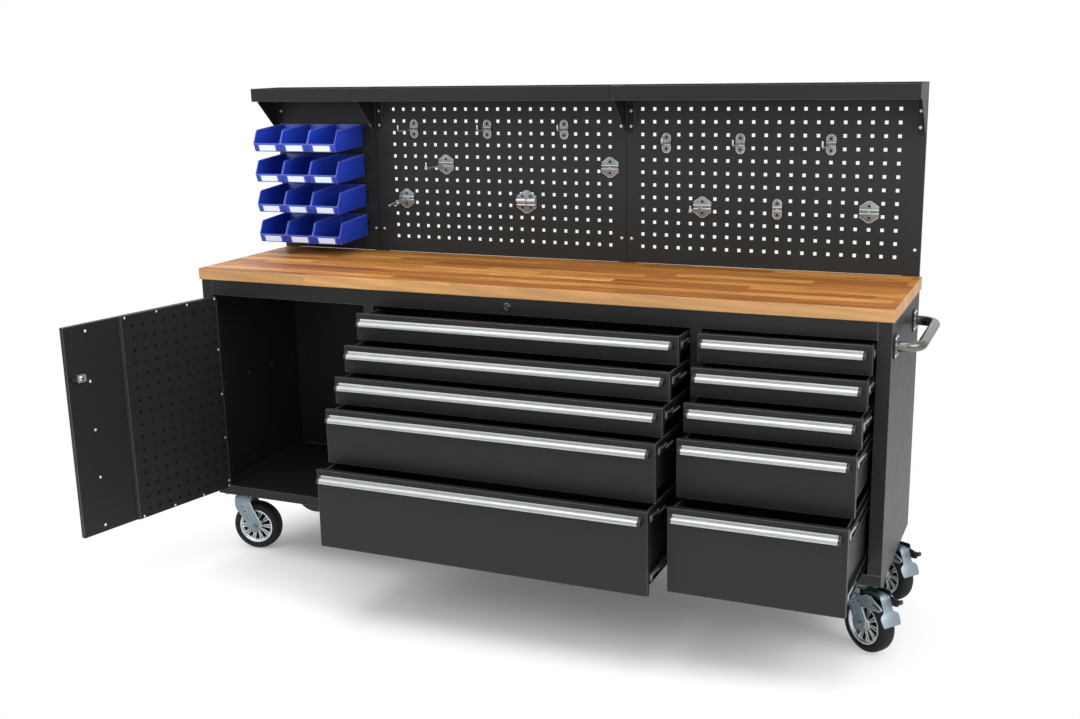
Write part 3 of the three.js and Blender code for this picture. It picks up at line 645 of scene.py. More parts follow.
def rounded_box(low: Pair, high: Pair, corner: float, steps: int) -> list[Pair]:
    """Outlines a rectangle with round corners.

    Args:
        low: Its lowest corner.
        high: Its highest corner.
        corner: The radius of its corners.
        steps: How many stretches each corner has.

    Returns:
        The outline.
    """
    left, right = low[0] + corner, high[0] - corner
    bottom, top = low[1] + corner, high[1] - corner
    points = []
    centres = ((right, top), (left, top), (left, bottom), (right, bottom))
    for centre, start in zip(centres, (0, 90, 180, 270)):
        points += arc(centre, corner, start, start + 90, steps)
    return points


def hexagon(radius: float, first: float = 0.0) -> list[Pair]:
    """A regular hexagon with its first corner at an angle in degrees."""
    return arc((0, 0), radius, first, first + 300, 5)


def disc(radius: float, start: float, end: float) -> list[Pair]:
    """The profile of a plain disc or rod between two places along its axis."""
    return [(0, start), (radius, start), (radius, end), (0, end)]


def mirrored(profile: Sequence[Pair]) -> list[Pair]:
    """A wheel's whole profile from one half's, which has points of (radius, along)."""
    return [(radius, -along) for radius, along in profile] + list(reversed(profile))


class Form:
    """A mesh of closed shells under construction, in millimetres."""

    def __init__(self) -> None:
        """Starts with nothing."""
        self.mesh = bmesh.new()

    def block(self, low: Triple, high: Triple) -> Form:
        """Adds a block between two corners."""
        outline = [(low[0], low[1]), (high[0], low[1]), (high[0], high[1]), (low[0], high[1])]
        return self.prism(outline, Axis.Z, low[2], high[2])

    def prism(self, outline: Sequence[Pair], axis: Axis, start: float, end: float) -> Form:
        """Adds an outline extruded along an axis, between two places on it."""
        ends = [[self.mesh.verts.new(axis.point(u, v, along)) for u, v in outline] for along in (start, end)]
        return self.loft(ends)

    def ring(self, corners: Iterable[Triple | Vector]) -> Ring:
        """Adds the points of a ring."""
        return [self.mesh.verts.new(corner) for corner in corners]

    def bridge(self, first: Ring, second: Ring) -> None:
        """Joins two closed rings of as many points with four-sided faces."""
        for (a, b), (c, d) in zip(zip(first, first[1:] + first[:1]), zip(second, second[1:] + second[:1])):
            self.mesh.faces.new((a, b, d, c))

    def loft(self, rings: Sequence[Ring], closed: bool = False) -> Form:
        """Joins a run of rings into a shell.

        Args:
            rings: The rings, of as many points each.
            closed: Whether the last joins the first. Otherwise both ends get a face.

        Returns:
            This form.
        """
        for first, second in zip(rings, rings[1:]):
            self.bridge(first, second)
        if closed:
            self.bridge(rings[-1], rings[0])
        else:
            self.mesh.faces.new(rings[0])
            self.mesh.faces.new(rings[-1])
        return self

    def turned(self, profile: Sequence[Pair], axis: Axis, centre: Triple, segments: int = 32) -> Form:
        """Adds a profile turned about an axis.

        Args:
            profile: Points of (radius, along). It starts and ends on the axis, or else is a closed loop.
            axis: The axis's direction.
            centre: A point on the axis, from which the profile's places along it count.
            segments: How many sides the turned shape has.

        Returns:
            This form.
        """
        offset = Vector(centre)
        rings = []
        for radius, along in profile:
            if radius == 0:
                rings.append(self.ring([axis.point(0, 0, along) + offset]))
                continue
            angles = [2 * math.pi * step / segments for step in range(segments)]
            rings.append(self.ring(
                axis.point(radius * math.cos(a), radius * math.sin(a), along) + offset for a in angles
            ))
        solid_ends = profile[0][0] == 0 and profile[-1][0] == 0
        runs = list(zip(rings, rings[1:])) + ([] if solid_ends else [(rings[-1], rings[0])])
        for first, second in runs:
            self.join_rings(first, second)
        return self

    def join_rings(self, first: Ring, second: Ring) -> None:
        """Joins two rings of a turned shape.

        Args:
            first: A ring, or a single point on the axis.
            second: Another.
        """
        if len(first) > 1 and len(second) > 1:
            self.bridge(first, second)
            return
        tip, ring = (first[0], second) if len(first) == 1 else (second[0], first)
        for here, there in zip(ring, ring[1:] + ring[:1]):
            self.mesh.faces.new((tip, here, there))

    def tube(self, path: Sequence[Vector], radius: float, sides: int = 24, closed: bool = False) -> Form:
        """Adds a round bar along a path.

        Args:
            path: The points along its middle.
            radius: Its radius.
            sides: How many sides it has.
            closed: Whether it joins into a ring. Otherwise both ends are closed.

        Returns:
            This form.
        """
        normal = Vector((0, 0, 1))
        turns = arc((0, 0), radius, 0, 360, sides)[:-1]
        rings = []
        count = len(path)
        for index, point in enumerate(path):
            before = path[index - 1] if closed or index else path[0]
            after = path[(index + 1) % count] if closed else path[min(index + 1, count - 1)]
            along = (after - before).normalized()
            if abs(along.dot(normal)) > 0.95:
                normal = Vector((1, 0, 0))
            across = along.cross(normal).normalized()
            up = across.cross(along).normalized()
            if not closed:
                normal = up
            rings.append(self.ring(point + u * across + v * up for u, v in turns))
        return self.loft(rings, closed)

    def ribbon(self, path: Sequence[Triple], thickness: float) -> Form:
        """Adds a bent strip of plate.

        Args:
            path: Its underside's points, as (x, z, half-width in Y).
            thickness: The plate's thickness.

        Returns:
            This form.
        """
        rings = []
        for index, (x, z, half) in enumerate(path):
            before = Vector(path[max(index - 1, 0)][:2])
            after = Vector(path[min(index + 1, len(path) - 1)][:2])
            along = (after - before).normalized()
            upper_x, upper_z = x - along.y * thickness, z + along.x * thickness
            rings.append(self.ring(
                ((x, -half, z), (x, half, z), (upper_x, half, upper_z), (upper_x, -half, upper_z))
            ))
        return self.loft(rings)

    def eased(self, width: float, segments: int = 2, angle: float = 35) -> Form:
        """Rounds the sharp edges.

        Args:
            width: How far the rounding reaches from each edge.
            segments: How many strips it has.
            angle: How sharp an edge has to be, in degrees.

        Returns:
            This form.
        """
        bmesh.ops.remove_doubles(self.mesh, verts=self.mesh.verts, dist=1e-4)
        bmesh.ops.recalc_face_normals(self.mesh, faces=self.mesh.faces)
        sharp = [
            edge for edge in self.mesh.edges
            if len(edge.link_faces) == 2 and edge.calc_face_angle(0) > math.radians(angle)
        ]
        bmesh.ops.bevel(
            self.mesh, geom=sharp, offset=width, segments=segments, profile=0.5, affect="EDGES",
            clamp_overlap=True,
        )
        return self

    def add(self, other: Form, place: Matrix | None = None) -> Form:
        """Adds another form's shells.

        Args:
            other: The other form.
            place: Where they go, if they are moved.

        Returns:
            This form.
        """
        carrier = bpy.data.meshes.new("carrier")
        other.mesh.to_mesh(carrier)
        if place is not None:
            carrier.transform(place)
        self.mesh.from_mesh(carrier)
        bpy.data.meshes.remove(carrier)
        return self

    def data(self, name: str, finish: bpy.types.Material) -> bpy.types.Mesh:
        """Turns the form into a mesh in metres, smooth but for its sharp edges.

        Args:
            name: The mesh's name.
            finish: Its material.

        Returns:
            The mesh. The form is empty afterwards.
        """
        bmesh.ops.recalc_face_normals(self.mesh, faces=self.mesh.faces)
        mesh = bpy.data.meshes.new(name)
        self.mesh.to_mesh(mesh)
        self.mesh.free()
        mesh.transform(Matrix.Scale(MM, 4))
        mesh.polygons.foreach_set("use_smooth", [True] * len(mesh.polygons))
        mesh.set_sharp_from_angle(angle=math.radians(35))
        mesh.materials.append(finish)
        return mesh


def moved(x: float, y: float, z: float) -> Matrix:
    """A move in millimetres."""
    return Matrix.Translation((x, y, z))


def turn(degrees: float, axis: str) -> Matrix:
    """A turn about an axis through the origin."""
    return Matrix.Rotation(math.radians(degrees), 4, axis)


def panel_grid(form: Form, xs: Sequence[float], zs: Sequence[float], is_hole: Callable[[int, int], bool],
               y0: float, y1: float) -> Form:
    """Adds a flat sheet in X and Z with square holes.

    Args:
        form: The form to add to.
        xs: The edges of the cells along X.
        zs: The edges of the cells along Z.
        is_hole: Whether the cell in a column and row is open.
        y0: The sheet's one face.
        y1: The sheet's other face.

    Returns:
        The form.
    """
    mesh = form.mesh
    grid = {
        (i, k, side): mesh.verts.new((x, y, z))
        for i, x in enumerate(xs) for k, z in enumerate(zs) for side, y in enumerate((y0, y1))
    }
    columns, rows = len(xs) - 1, len(zs) - 1

    def solid(i: int, k: int) -> bool:
        """Whether a cell holds metal."""
        return 0 <= i < columns and 0 <= k < rows and not is_hole(i, k)

    for i in range(columns):
        for k in range(rows):
            if not solid(i, k):
                continue
            for side in (0, 1):
                mesh.faces.new([grid[i + a, k + b, side] for a, b in ((0, 0), (1, 0), (1, 1), (0, 1))])
            edges = (
                ((i, k), (i + 1, k), (i, k - 1)), ((i, k + 1), (i + 1, k + 1), (i, k + 1)),
                ((i, k), (i, k + 1), (i - 1, k)), ((i + 1, k), (i + 1, k + 1), (i + 1, k)),
            )
            for start, end, beyond in edges:
                if not solid(*beyond):
                    mesh.faces.new((grid[*start, 0], grid[*end, 0], grid[*end, 1], grid[*start, 1]))
    loose = [vertex for vertex in mesh.verts if not vertex.link_faces]
    bmesh.ops.delete(mesh, geom=loose, context="VERTS")
    return form


def screw(radius: float, height: float) -> Form:
    """Makes a pan-head screw that faces -Y, with a raised cross on its head.

    Args:
        radius: The head's radius.
        height: The head's height.

    Returns:
        The screw's head, with its seat at the origin.
    """
    head = [(0, 0), (radius, 0), (radius, -0.35 * height), (0.86 * radius, -0.75 * height),
            (0.5 * radius, -height), (0, -height)]
    form = Form().turned(head, Axis.Y, (0, 0, 0), 20)
    for tilt in (45, -45):
        bar = Form().block((-0.55 * radius, -1.04 * height, -0.13 * radius),
                           (0.55 * radius, -0.9 * height, 0.13 * radius))
        form.add(bar, turn(tilt, "Y"))
    return form


# -------------------------------------------------------------------------------- the bench's frame
class Bench:
    """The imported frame, and the way from the bench's millimetres into it."""

    wall_sheet = 1.5

    def __init__(self, frame: dict) -> None:
        """Finds the bench's origin, where the worktop ends and the tool wall's front lies.

        Args:
            frame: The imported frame.
        """
        self.frame = frame
        self.joints = {joint["name"]: joint for joint in frame["joints"]}
        low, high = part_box("worktop")
        self.origin = Vector((low.x, high.y - self.wall_sheet * MM, 0))

    def span(self, node: str) -> tuple[Vector, Vector]:
        """A node's lowest and highest corners in the bench's millimetres."""
        low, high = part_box(node)
        return (low - self.origin) / MM, (high - self.origin) / MM

    def point(self, x: float, y: float, z: float) -> Vector:
        """A point of the bench in the frame's metres."""
        return self.origin + Vector((x, y, z)) * MM

    def pivot(self, joint: str) -> Vector:
        """A joint's place in the bench's millimetres."""
        return (Vector(self.joints[joint]["pos_m"]) - self.origin) / MM

    def put(self, name: str, mesh: bpy.types.Mesh, body: str, place: Matrix | None = None,
            slot: str | None = None, replaces: Sequence[str] = ()) -> None:
        """Adds a piece to the scene.

        Args:
            name: The piece's name.
            mesh: Its mesh in metres, which pieces may share.
            body: The CAD body that it moves with.
            place: Its place in the bench's millimetres.
            slot: The record's material slot, which is not used.
            replaces: The CAD nodes that it stands for.
        """
        piece = bpy.data.objects.new(name, mesh)
        bpy.context.scene.collection.objects.link(piece)
        matrix = place.copy() if place is not None else Matrix.Identity(4)
        matrix.translation = self.origin + matrix.translation * MM
        piece.matrix_world = matrix
        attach(piece, body)
        if replaces:
            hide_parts(*replaces)
        LOG.info("%s rides on %s", name, body)

    def fit(self, name: str, form: Form, finish: bpy.types.Material, body: str, place: Matrix | None = None,
            slot: str | None = None, replaces: Sequence[str] = ()) -> None:
        """Turns a form into a mesh in a finish, and adds it as put does."""
        self.put(name, form.data(name, finish), body, place, slot, replaces)

    def dress(self, node: str, finish: bpy.types.Material) -> None:
        """Gives a CAD node a finish."""
        for slot in self.frame["nodes"][node].material_slots:
            slot.material = finish


# ------------------------------------------------------------------------------------ sub-assemblies
@dataclass
class Carcass:
    """The cabinet's sheet metal, the worktop and the tool wall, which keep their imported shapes."""

    bench: Bench
    finishes: Finishes
    painted: tuple[str, ...] = (
        "side_panel_right", "base_tray", "front_frame", "shelf_left", "shelf_middle", "shelf_right", "door",
    )
    inner: tuple[str, ...] = ("side_panel_left", "back_panel")
    panels: tuple[str, ...] = ("bin_panel", "tool_panel_middle", "tool_panel_right")
    sheet: float = 1.5
    wall_screw: Pair = (5.0, 2.6)
    rivet: Pair = (3.4, 1.4)
    seam_screw: float = 16.0
    screw_heights: tuple[float, ...] = (1415.0, 1369.0, 1025.0)
    flange_front: float = -1.8
    seam_width: float = 1.8
    seam_proud: float = 0.25
    shelf_face: float = 42.0
    rivet_depths: tuple[float, ...] = (-420.0, -290.0, -160.0, -40.0)
    rivet_heights: tuple[float, ...] = (262.0, 560.0, 860.0)
    keyway: Pair = (1.6, 5.6)

    def build(self) -> None:
        """Dresses the solids and adds their screws."""
        drawers = tuple(f"drawer_{bank}_{row}" for bank in BANKS for row in ROWS)
        for nodes, finish in (
            (self.painted + drawers, self.finishes.body_paint), (self.inner, self.finishes.inner_paint),
            (self.panels, self.finishes.wall_paint), (("worktop",), self.finishes.wood),
        ):
            for node in nodes:
                self.bench.dress(node, finish)
        self.wall_screws()
        self.seams()
        self.cupboard_rivets()
        self.chest_lock()

    def wall_screws(self) -> None:
        """Screws along the tool wall's seams and ends, on the gussets' flanges where they are."""
        low, high = self.bench.span("tool_panel_middle")
        left, _ = self.bench.span("bin_panel")
        _, right = self.bench.span("tool_panel_right")
        inset = self.seam_screw
        columns = [
            (left.x + inset, True), (low.x - inset, False), (low.x + inset, True),
            (high.x - inset, False), (high.x + inset, True), (right.x - inset, True),
        ]
        gusset_low = self.bench.span("shelf_left")[0].z
        form = Form()
        for x, on_flange in columns:
            for z in self.screw_heights:
                y = self.flange_front if on_flange and z > gusset_low else 0.0
                form.add(screw(*self.wall_screw), moved(x, y, z))
        self.bench.fit("tool_wall_screws", form, self.finishes.rim, "cabinet", slot="zinc")

    def seams(self) -> None:
        """Painted shade: dark strips where the shelves and the wall's panels meet, for the shade in their
        seams.
        """
        form = Form()
        half, proud = self.seam_width / 2, self.seam_proud
        for node in ("shelf_left", "shelf_middle"):
            low, high = self.bench.span(node)
            left, right = high.x - half, high.x + half
            bottom = high.z - self.shelf_face
            form.add(Form().block((left, low.y - proud, bottom - proud), (right, low.y + 3.0, high.z)))
            form.add(Form().block((left, low.y, bottom - proud), (right, -2.0, bottom + 0.5)))
        for node in ("bin_panel", "tool_panel_middle"):
            low, high = self.bench.span(node)
            form.add(Form().block((high.x - half, -proud, low.z), (high.x + half, 1.0, high.z)))
        # The seam strips are painted shade.
        self.bench.fit("panel_seams", form, self.finishes.painted_shade, "cabinet", slot="black_paint")

    def cupboard_rivets(self) -> None:
        """Rivets on the inside of the cupboard's left wall."""
        low, _ = self.bench.span("side_panel_left")
        form = Form()
        for y in self.rivet_depths:
            for z in self.rivet_heights:
                form.add(screw(*self.rivet), moved(low.x + self.sheet, y, z) @ turn(90, "Z"))
        self.bench.fit("cupboard_rivets", form, self.finishes.zinc, "cabinet", slot="zinc")

    def chest_lock(self) -> None:
        """The central lock in the top rail: a face in zinc darkened as painted shade, with a bright ring and
        a keyway, in a dark bezel.
        """
        # The lock's face takes the darkened zinc: painted shade.
        self.bench.dress("chest_lock", self.finishes.zinc_in_deep_shade)
        low, high = self.bench.span("chest_lock")
        x, face, z = (low.x + high.x) / 2, low.y, (low.z + high.z) / 2
        bezel = [(11.3, 0), (12.8, 0), (12.8, -0.9), (12.2, -1.4), (11.3, -1.4)]
        rail = self.bench.span("front_frame")[0].y
        form = Form().turned(bezel, Axis.Y, (x, rail, z), 40)
        self.bench.fit("chest_lock_bezel", form, self.finishes.black_plastic, "cabinet", slot="stainless")
        ring = [(7.4, 0.2), (7.4, -0.5), (8.4, -1.0), (10.2, -0.5), (10.8, 0.2)]
        form = Form().turned(ring, Axis.Y, (x, face, z), 40)
        form.turned([(0, -0.6), (3.6, -0.6), (4.4, 0.2), (0, 0.2)], Axis.Y, (x, face, z), 28)
        self.bench.fit("chest_lock_ring", form, self.finishes.stainless, "chest_lock", slot="stainless")
        # The keyway and the ring of its well are painted shade.
        half, tall = self.keyway[0] / 2, self.keyway[1] / 2
        form = Form().block((x - half, face - 0.75, z - tall), (x + half, face - 0.4, z + tall))
        well = [(4.2, 0.15), (4.2, -0.15), (7.6, -0.15), (7.6, 0.15)]
        form.add(Form().turned(well, Axis.Y, (x, face, z), 32))
        self.bench.fit("chest_lock_keyway", form, self.finishes.painted_shade, "chest_lock", slot="stainless")


class Plate(Enum):
    """The outline of a tool hook's back plate."""

    SLIM = "slim"
    HEXAGON = "hexagon"
    WIDE = "wide"


@dataclass(frozen=True)
class Hook:
    """One tool hook: its column and row of holes, its plate, and its prongs with their reach and tip."""

    column: float
    row: float
    plate: Plate
    reach: float = 0.0
    prongs: int = 1
    tip: float = 9.0


@dataclass
class ToolHooks:
    """Zinc-plated hooks pegged into the perforated panels."""

    bench: Bench
    finishes: Finishes
    pitch: float = 38.0
    margin: float = 71.0
    first_row: float = 31.0
    last_column: int = 20
    drop: float = 6.0
    gap: float = 0.3
    sheet: float = 2.0
    slim_half: float = 14.0
    slim_eye: float = 17.0
    hexagon_half: Pair = (28.0, 32.0)
    wide_half: Pair = (34.0, 37.0)
    wide_eyes: Pair = (14.0, 18.0)
    peg_hole: float = 3.9
    lip: float = 1.4
    rod: float = 2.5
    prong_spacing: float = 17.0
    prong_bend: float = 9.0
    middle: tuple[Hook, ...] = (
        Hook(2, 1.5, Plate.SLIM, 108.0), Hook(9, 1.5, Plate.SLIM, 73.0), Hook(16, 1.5, Plate.SLIM, 55.0),
        Hook(5, 4.5, Plate.HEXAGON, 138.0), Hook(1, 7.5, Plate.HEXAGON, 100.0, 2, 0.0),
        Hook(20, 4.5, Plate.HEXAGON), Hook(12.5, 7.5, Plate.WIDE),
    )
    right: tuple[Hook, ...] = (
        Hook(2, 2.5, Plate.SLIM, 48.0), Hook(8, 2.5, Plate.SLIM, 86.0), Hook(15, 2.5, Plate.SLIM, 125.0),
        Hook(11, 7.5, Plate.SLIM), Hook(5, 7.5, Plate.HEXAGON, 125.0), Hook(18, 7.5, Plate.HEXAGON),
    )

    def build(self) -> None:
        """Hangs every hook."""
        left = self.bench.span("tool_panel_middle")[0].x + self.margin
        corner = self.bench.span("tool_panel_right")[1]
        top = corner.z - self.first_row - self.drop
        starts = (left, corner.x - self.margin - self.last_column * self.pitch)
        for side, start, hooks in zip(("middle", "right"), starts, (self.middle, self.right)):
            for number, hook in enumerate(hooks, 1):
                place = moved(start + hook.column * self.pitch, -self.gap, top - hook.row * self.pitch)
                self.hang(f"hook_{side}_{number}_{hook.plate.value}", hook, place)

    def hang(self, name: str, hook: Hook, place: Matrix) -> None:
        """Makes one hook with its peg holes.

        Args:
            name: The name of its plate.
            hook: What it is like.
            place: Where the middle of its plate's back goes.
        """
        plate, bright, dark = Form(), Form(), Form()
        half = self.add_plate(plate, bright, hook.plate)
        self.add_eyes(plate, dark, hook.plate)
        if hook.plate is Plate.WIDE:
            self.add_clip(bright, half)
        else:
            self.add_ribs(plate, bright, half)
        if hook.reach > 0:
            for number in range(hook.prongs):
                across = (number - (hook.prongs - 1) / 2) * self.prong_spacing
                self.add_prong(bright, across, hook.reach, hook.tip)
        # The second piece holds the prongs and the painted highlights of each plate.
        for piece, form, finish in (
            (name, plate, self.finishes.hook_plate), (f"{name}_wire_and_highlights", bright, self.finishes.hook_zinc_highlight),
            (f"{name}_holes", dark, self.finishes.painted_shade),
        ):
            self.bench.fit(piece, form, finish, "cabinet", place, "stainless")

    def add_eyes(self, plate: Form, dark: Form, kind: Plate) -> None:
        """Adds the plate's peg holes with their raised lips, and the pegs behind them.

        Args:
            plate: The form for the lips.
            dark: The form for the holes and the pegs, which are painted as dark shade.
            kind: The plate's outline.
        """
        eyes = [(0.0, up * self.slim_eye) for up in (-1, 1)]
        if kind is Plate.WIDE:
            eyes = [(side * self.wide_eyes[0], up * self.wide_eyes[1]) for side in (-1, 1) for up in (-1, 1)]
        hole, rim, face = self.peg_hole, self.peg_hole + self.lip, -self.sheet
        lip = [(hole, face + 0.4), (hole, face - 0.4), (hole + 0.5, face - 0.7), (rim, face - 0.3),
               (rim + 0.4, face + 0.4)]
        for across, up in eyes:
            plate.turned(lip, Axis.Y, (across, 0, up), 24)
            # The dark discs in the holes and the blocks for the pegs are painted shade.
            dark.turned(disc(hole, face - 0.12, face + 0.3), Axis.Y, (across, 0, up), 24)
            dark.add(Form().block((across - 3, 0.3, up + 1), (across + 3, 5.5, up + 6.5)))

    def add_plate(self, plate: Form, bright: Form, kind: Plate) -> float:
        """Adds the back plate with a pale strip round its rim, which is a painted highlight.

        Args:
            plate: The form for the plate.
            bright: The form for the rim's painted highlight.
            kind: The plate's outline.

        Returns:
            The plate's half-width.
        """
        if kind is Plate.SLIM:
            half, eye = self.slim_half, self.slim_eye
            waist = [(-half, 10), (-half + 1.5, 8), (-half + 1.5, -8), (-half, -10)]
            outline = arc((0, eye), half, 0, 180, 14) + waist
            outline += arc((0, -eye), half, 180, 360, 14) + [(-u, v) for u, v in reversed(waist)]
        else:
            half, height = self.hexagon_half if kind is Plate.HEXAGON else self.wide_half
            corner = 0.5 * height
            outline = [(-half, -corner), (-5, -height), (5, -height), (half, -corner), (half, corner),
                       (5, height), (-5, height), (-half, corner)]
        plate.add(Form().prism([(v, u) for u, v in outline], Axis.Y, -self.sheet, 0).eased(0.6, 2, 15))
        shrink = 1 - 1.3 / half
        rim = [Vector((shrink * u, -self.sheet + 0.15, shrink * v)) for u, v in outline]
        bright.tube(rim, 1.2 if kind is Plate.SLIM else 0.8, 8, True)
        return half

    def bulge(self, middle: float, tall: float, deep: float, step: int) -> list[Pair]:
        """A half-oval section in front of the plate, as (y, z), with a point every few degrees."""
        angles = [math.radians(degrees) for degrees in range(0, 181, step)]
        return [(0.3 - self.sheet - deep * math.sin(a), middle - tall * math.cos(a)) for a in angles]

    def add_ribs(self, plate: Form, bright: Form, half: float) -> None:
        """Adds the pressed ribs across the plate, which hold the prongs, and the rivet between them.

        Args:
            plate: The form for the middle rib.
            bright: The form for the outer ribs and the rivet, whose paler zinc paints their highlights.
            half: The plate's half-width.
        """
        for form, middle, rib in ((bright, 6.0, 2.8), (plate, 0.5, 2.6), (bright, -5.0, 2.8)):
            section = self.bulge(middle, rib, 1.4 * rib, 20)
            form.add(Form().prism(section, Axis.X, -half, half).eased(0.4, 2, 50))
        rivet = [(0, -7.4), (2.0, -7.2), (2.6, -6.4), (2.6, -2.0), (0, -2.0)]
        bright.turned(rivet, Axis.Y, (0, 0, 0.5), 16)

    def add_clip(self, form: Form, half: float) -> None:
        """Adds the broad rolled clasp that holds a round shaft.

        Args:
            form: The form to add it to.
            half: The plate's half-width.
        """
        for middle, tall, deep in ((4.5, 9.5, 12.0), (-9.5, 4.4, 8.5)):
            section = self.bulge(middle, tall, deep, 12)
            for side in (-1, 1):
                start, end = sorted((side * 1.2, side * (half - 1.0)))
                form.add(Form().prism(section, Axis.X, start, end).eased(0.8, 2, 50))

    def add_prong(self, form: Form, across: float, reach: float, tip: float) -> None:
        """Adds a rod that stands out from the ribs.

        Args:
            form: The form to add it to.
            across: Its place along the plate.
            reach: How far it stands out.
            tip: How far its tip turns up. With none, it is a plain rod that slopes down.
        """
        root = -self.sheet - 2
        if tip <= 0:
            slope = [(across, root, 2.0), (across, -0.4 * reach, -4.0), (1.3 * across, -reach + 2.0, -13.0),
                     (1.3 * across, -reach, -13.2)]
            form.tube([Vector(point) for point in slope], self.rod + 0.4, 14)
            return
        bend, low = self.prong_bend, -1.5
        side = [(root, 0), (-0.5 * reach, low), *arc((bend - reach, low + bend), bend, -90, -180, 5)]
        side.append((-reach, low + bend + tip))
        form.tube([Vector((across, y, z)) for y, z in side], self.rod, 14)
        dome = [(0, 0), (self.rod, 0), (0.8 * self.rod, 1.4), (0.4 * self.rod, 2.0), (0, 2.1)]
        form.turned(dome, Axis.Z, (across, -reach, low + bend + tip - 0.1), 14)


@dataclass
class Handles:
    """The full-width extruded drawer handles with their black end caps."""

    bench: Bench
    finishes: Finishes
    reach: float = 18.0
    height: float = 20.5
    wall: float = 2.4
    nose: float = 10.5
    nose_rise: float = 3.5
    cap: float = 9.0
    overlap: float = 1.0
    proud: float = 0.5

    def build(self) -> None:
        """Makes a handle for every drawer."""
        for bank in BANKS:
            for row in ROWS:
                self.handle(f"handle_{bank}_{row}", f"drawer_{bank}_{row}")

    def handle(self, node: str, drawer: str) -> None:
        """Makes one handle and its two end caps.

        Args:
            node: The CAD node that they stand for.
            drawer: The body that they ride on.
        """
        low, high = self.bench.span(node)
        place, length = moved(low.x, high.y, high.z), high.x - low.x
        start, end = self.cap - self.overlap, length - self.cap + self.overlap
        bar = Form().prism(self.profile(), Axis.X, start, end).eased(0.25, 1, 60)
        self.bench.fit(f"{node}_extrusion", bar, self.finishes.handle, drawer, place, "aluminium", [node])
        caps = Form()
        for start in (0.0, length - self.cap):
            caps.add(Form().prism(self.cap_profile(), Axis.X, start, start + self.cap).eased(1.3, 3, 50))
        self.bench.fit(f"{node}_end_caps", caps, self.finishes.black_plastic, drawer, place)

    def nose_centre(self) -> Pair:
        """The middle of the round nose, as (y, z)."""
        return self.nose - self.reach, self.nose_rise - self.height

    def profile(self) -> list[Pair]:
        """Outlines the extrusion: a lip, a groove and a round nose, hollow from below.

        Returns:
            The section as (y, z), from the handle's top rear corner.
        """
        centre, wall = self.nose_centre(), self.wall
        front, bottom = -self.reach, -self.height
        outer = [(0.0, 0.0), (-3.0, 0.0), *arc((-3.0, -1.2), 1.2, 100, 170, 3)]
        outer += [(-5.3, -4.4), (-4.5, -5.4), (-5.0, -6.4), *arc(centre, self.nose, 92, 180, 14)]
        outer += [(front, bottom + 1.2), (front + 0.6, bottom)]
        inner = [(front + wall, bottom), *arc(centre, self.nose - wall, 180, 90, 10)]
        inner += [(-wall, centre[1] + self.nose - wall), (-wall, bottom), (0.0, bottom)]
        return outer + inner

    def cap_profile(self) -> list[Pair]:
        """Outlines the end caps, which are solid and stand a little proud of the extrusion.

        Returns:
            The section as (y, z), from the handle's top rear corner.
        """
        front, bottom, proud = -self.reach, -self.height, self.proud
        outline = [(0.0, proud), (-4.5, proud), (-6.2, -3.5)]
        outline += arc(self.nose_centre(), self.nose + proud, 88, 180, 12)
        outline += [(front - proud, bottom + 1.0), (front + 1.5, bottom - proud), (0.0, bottom - proud)]
        return outline


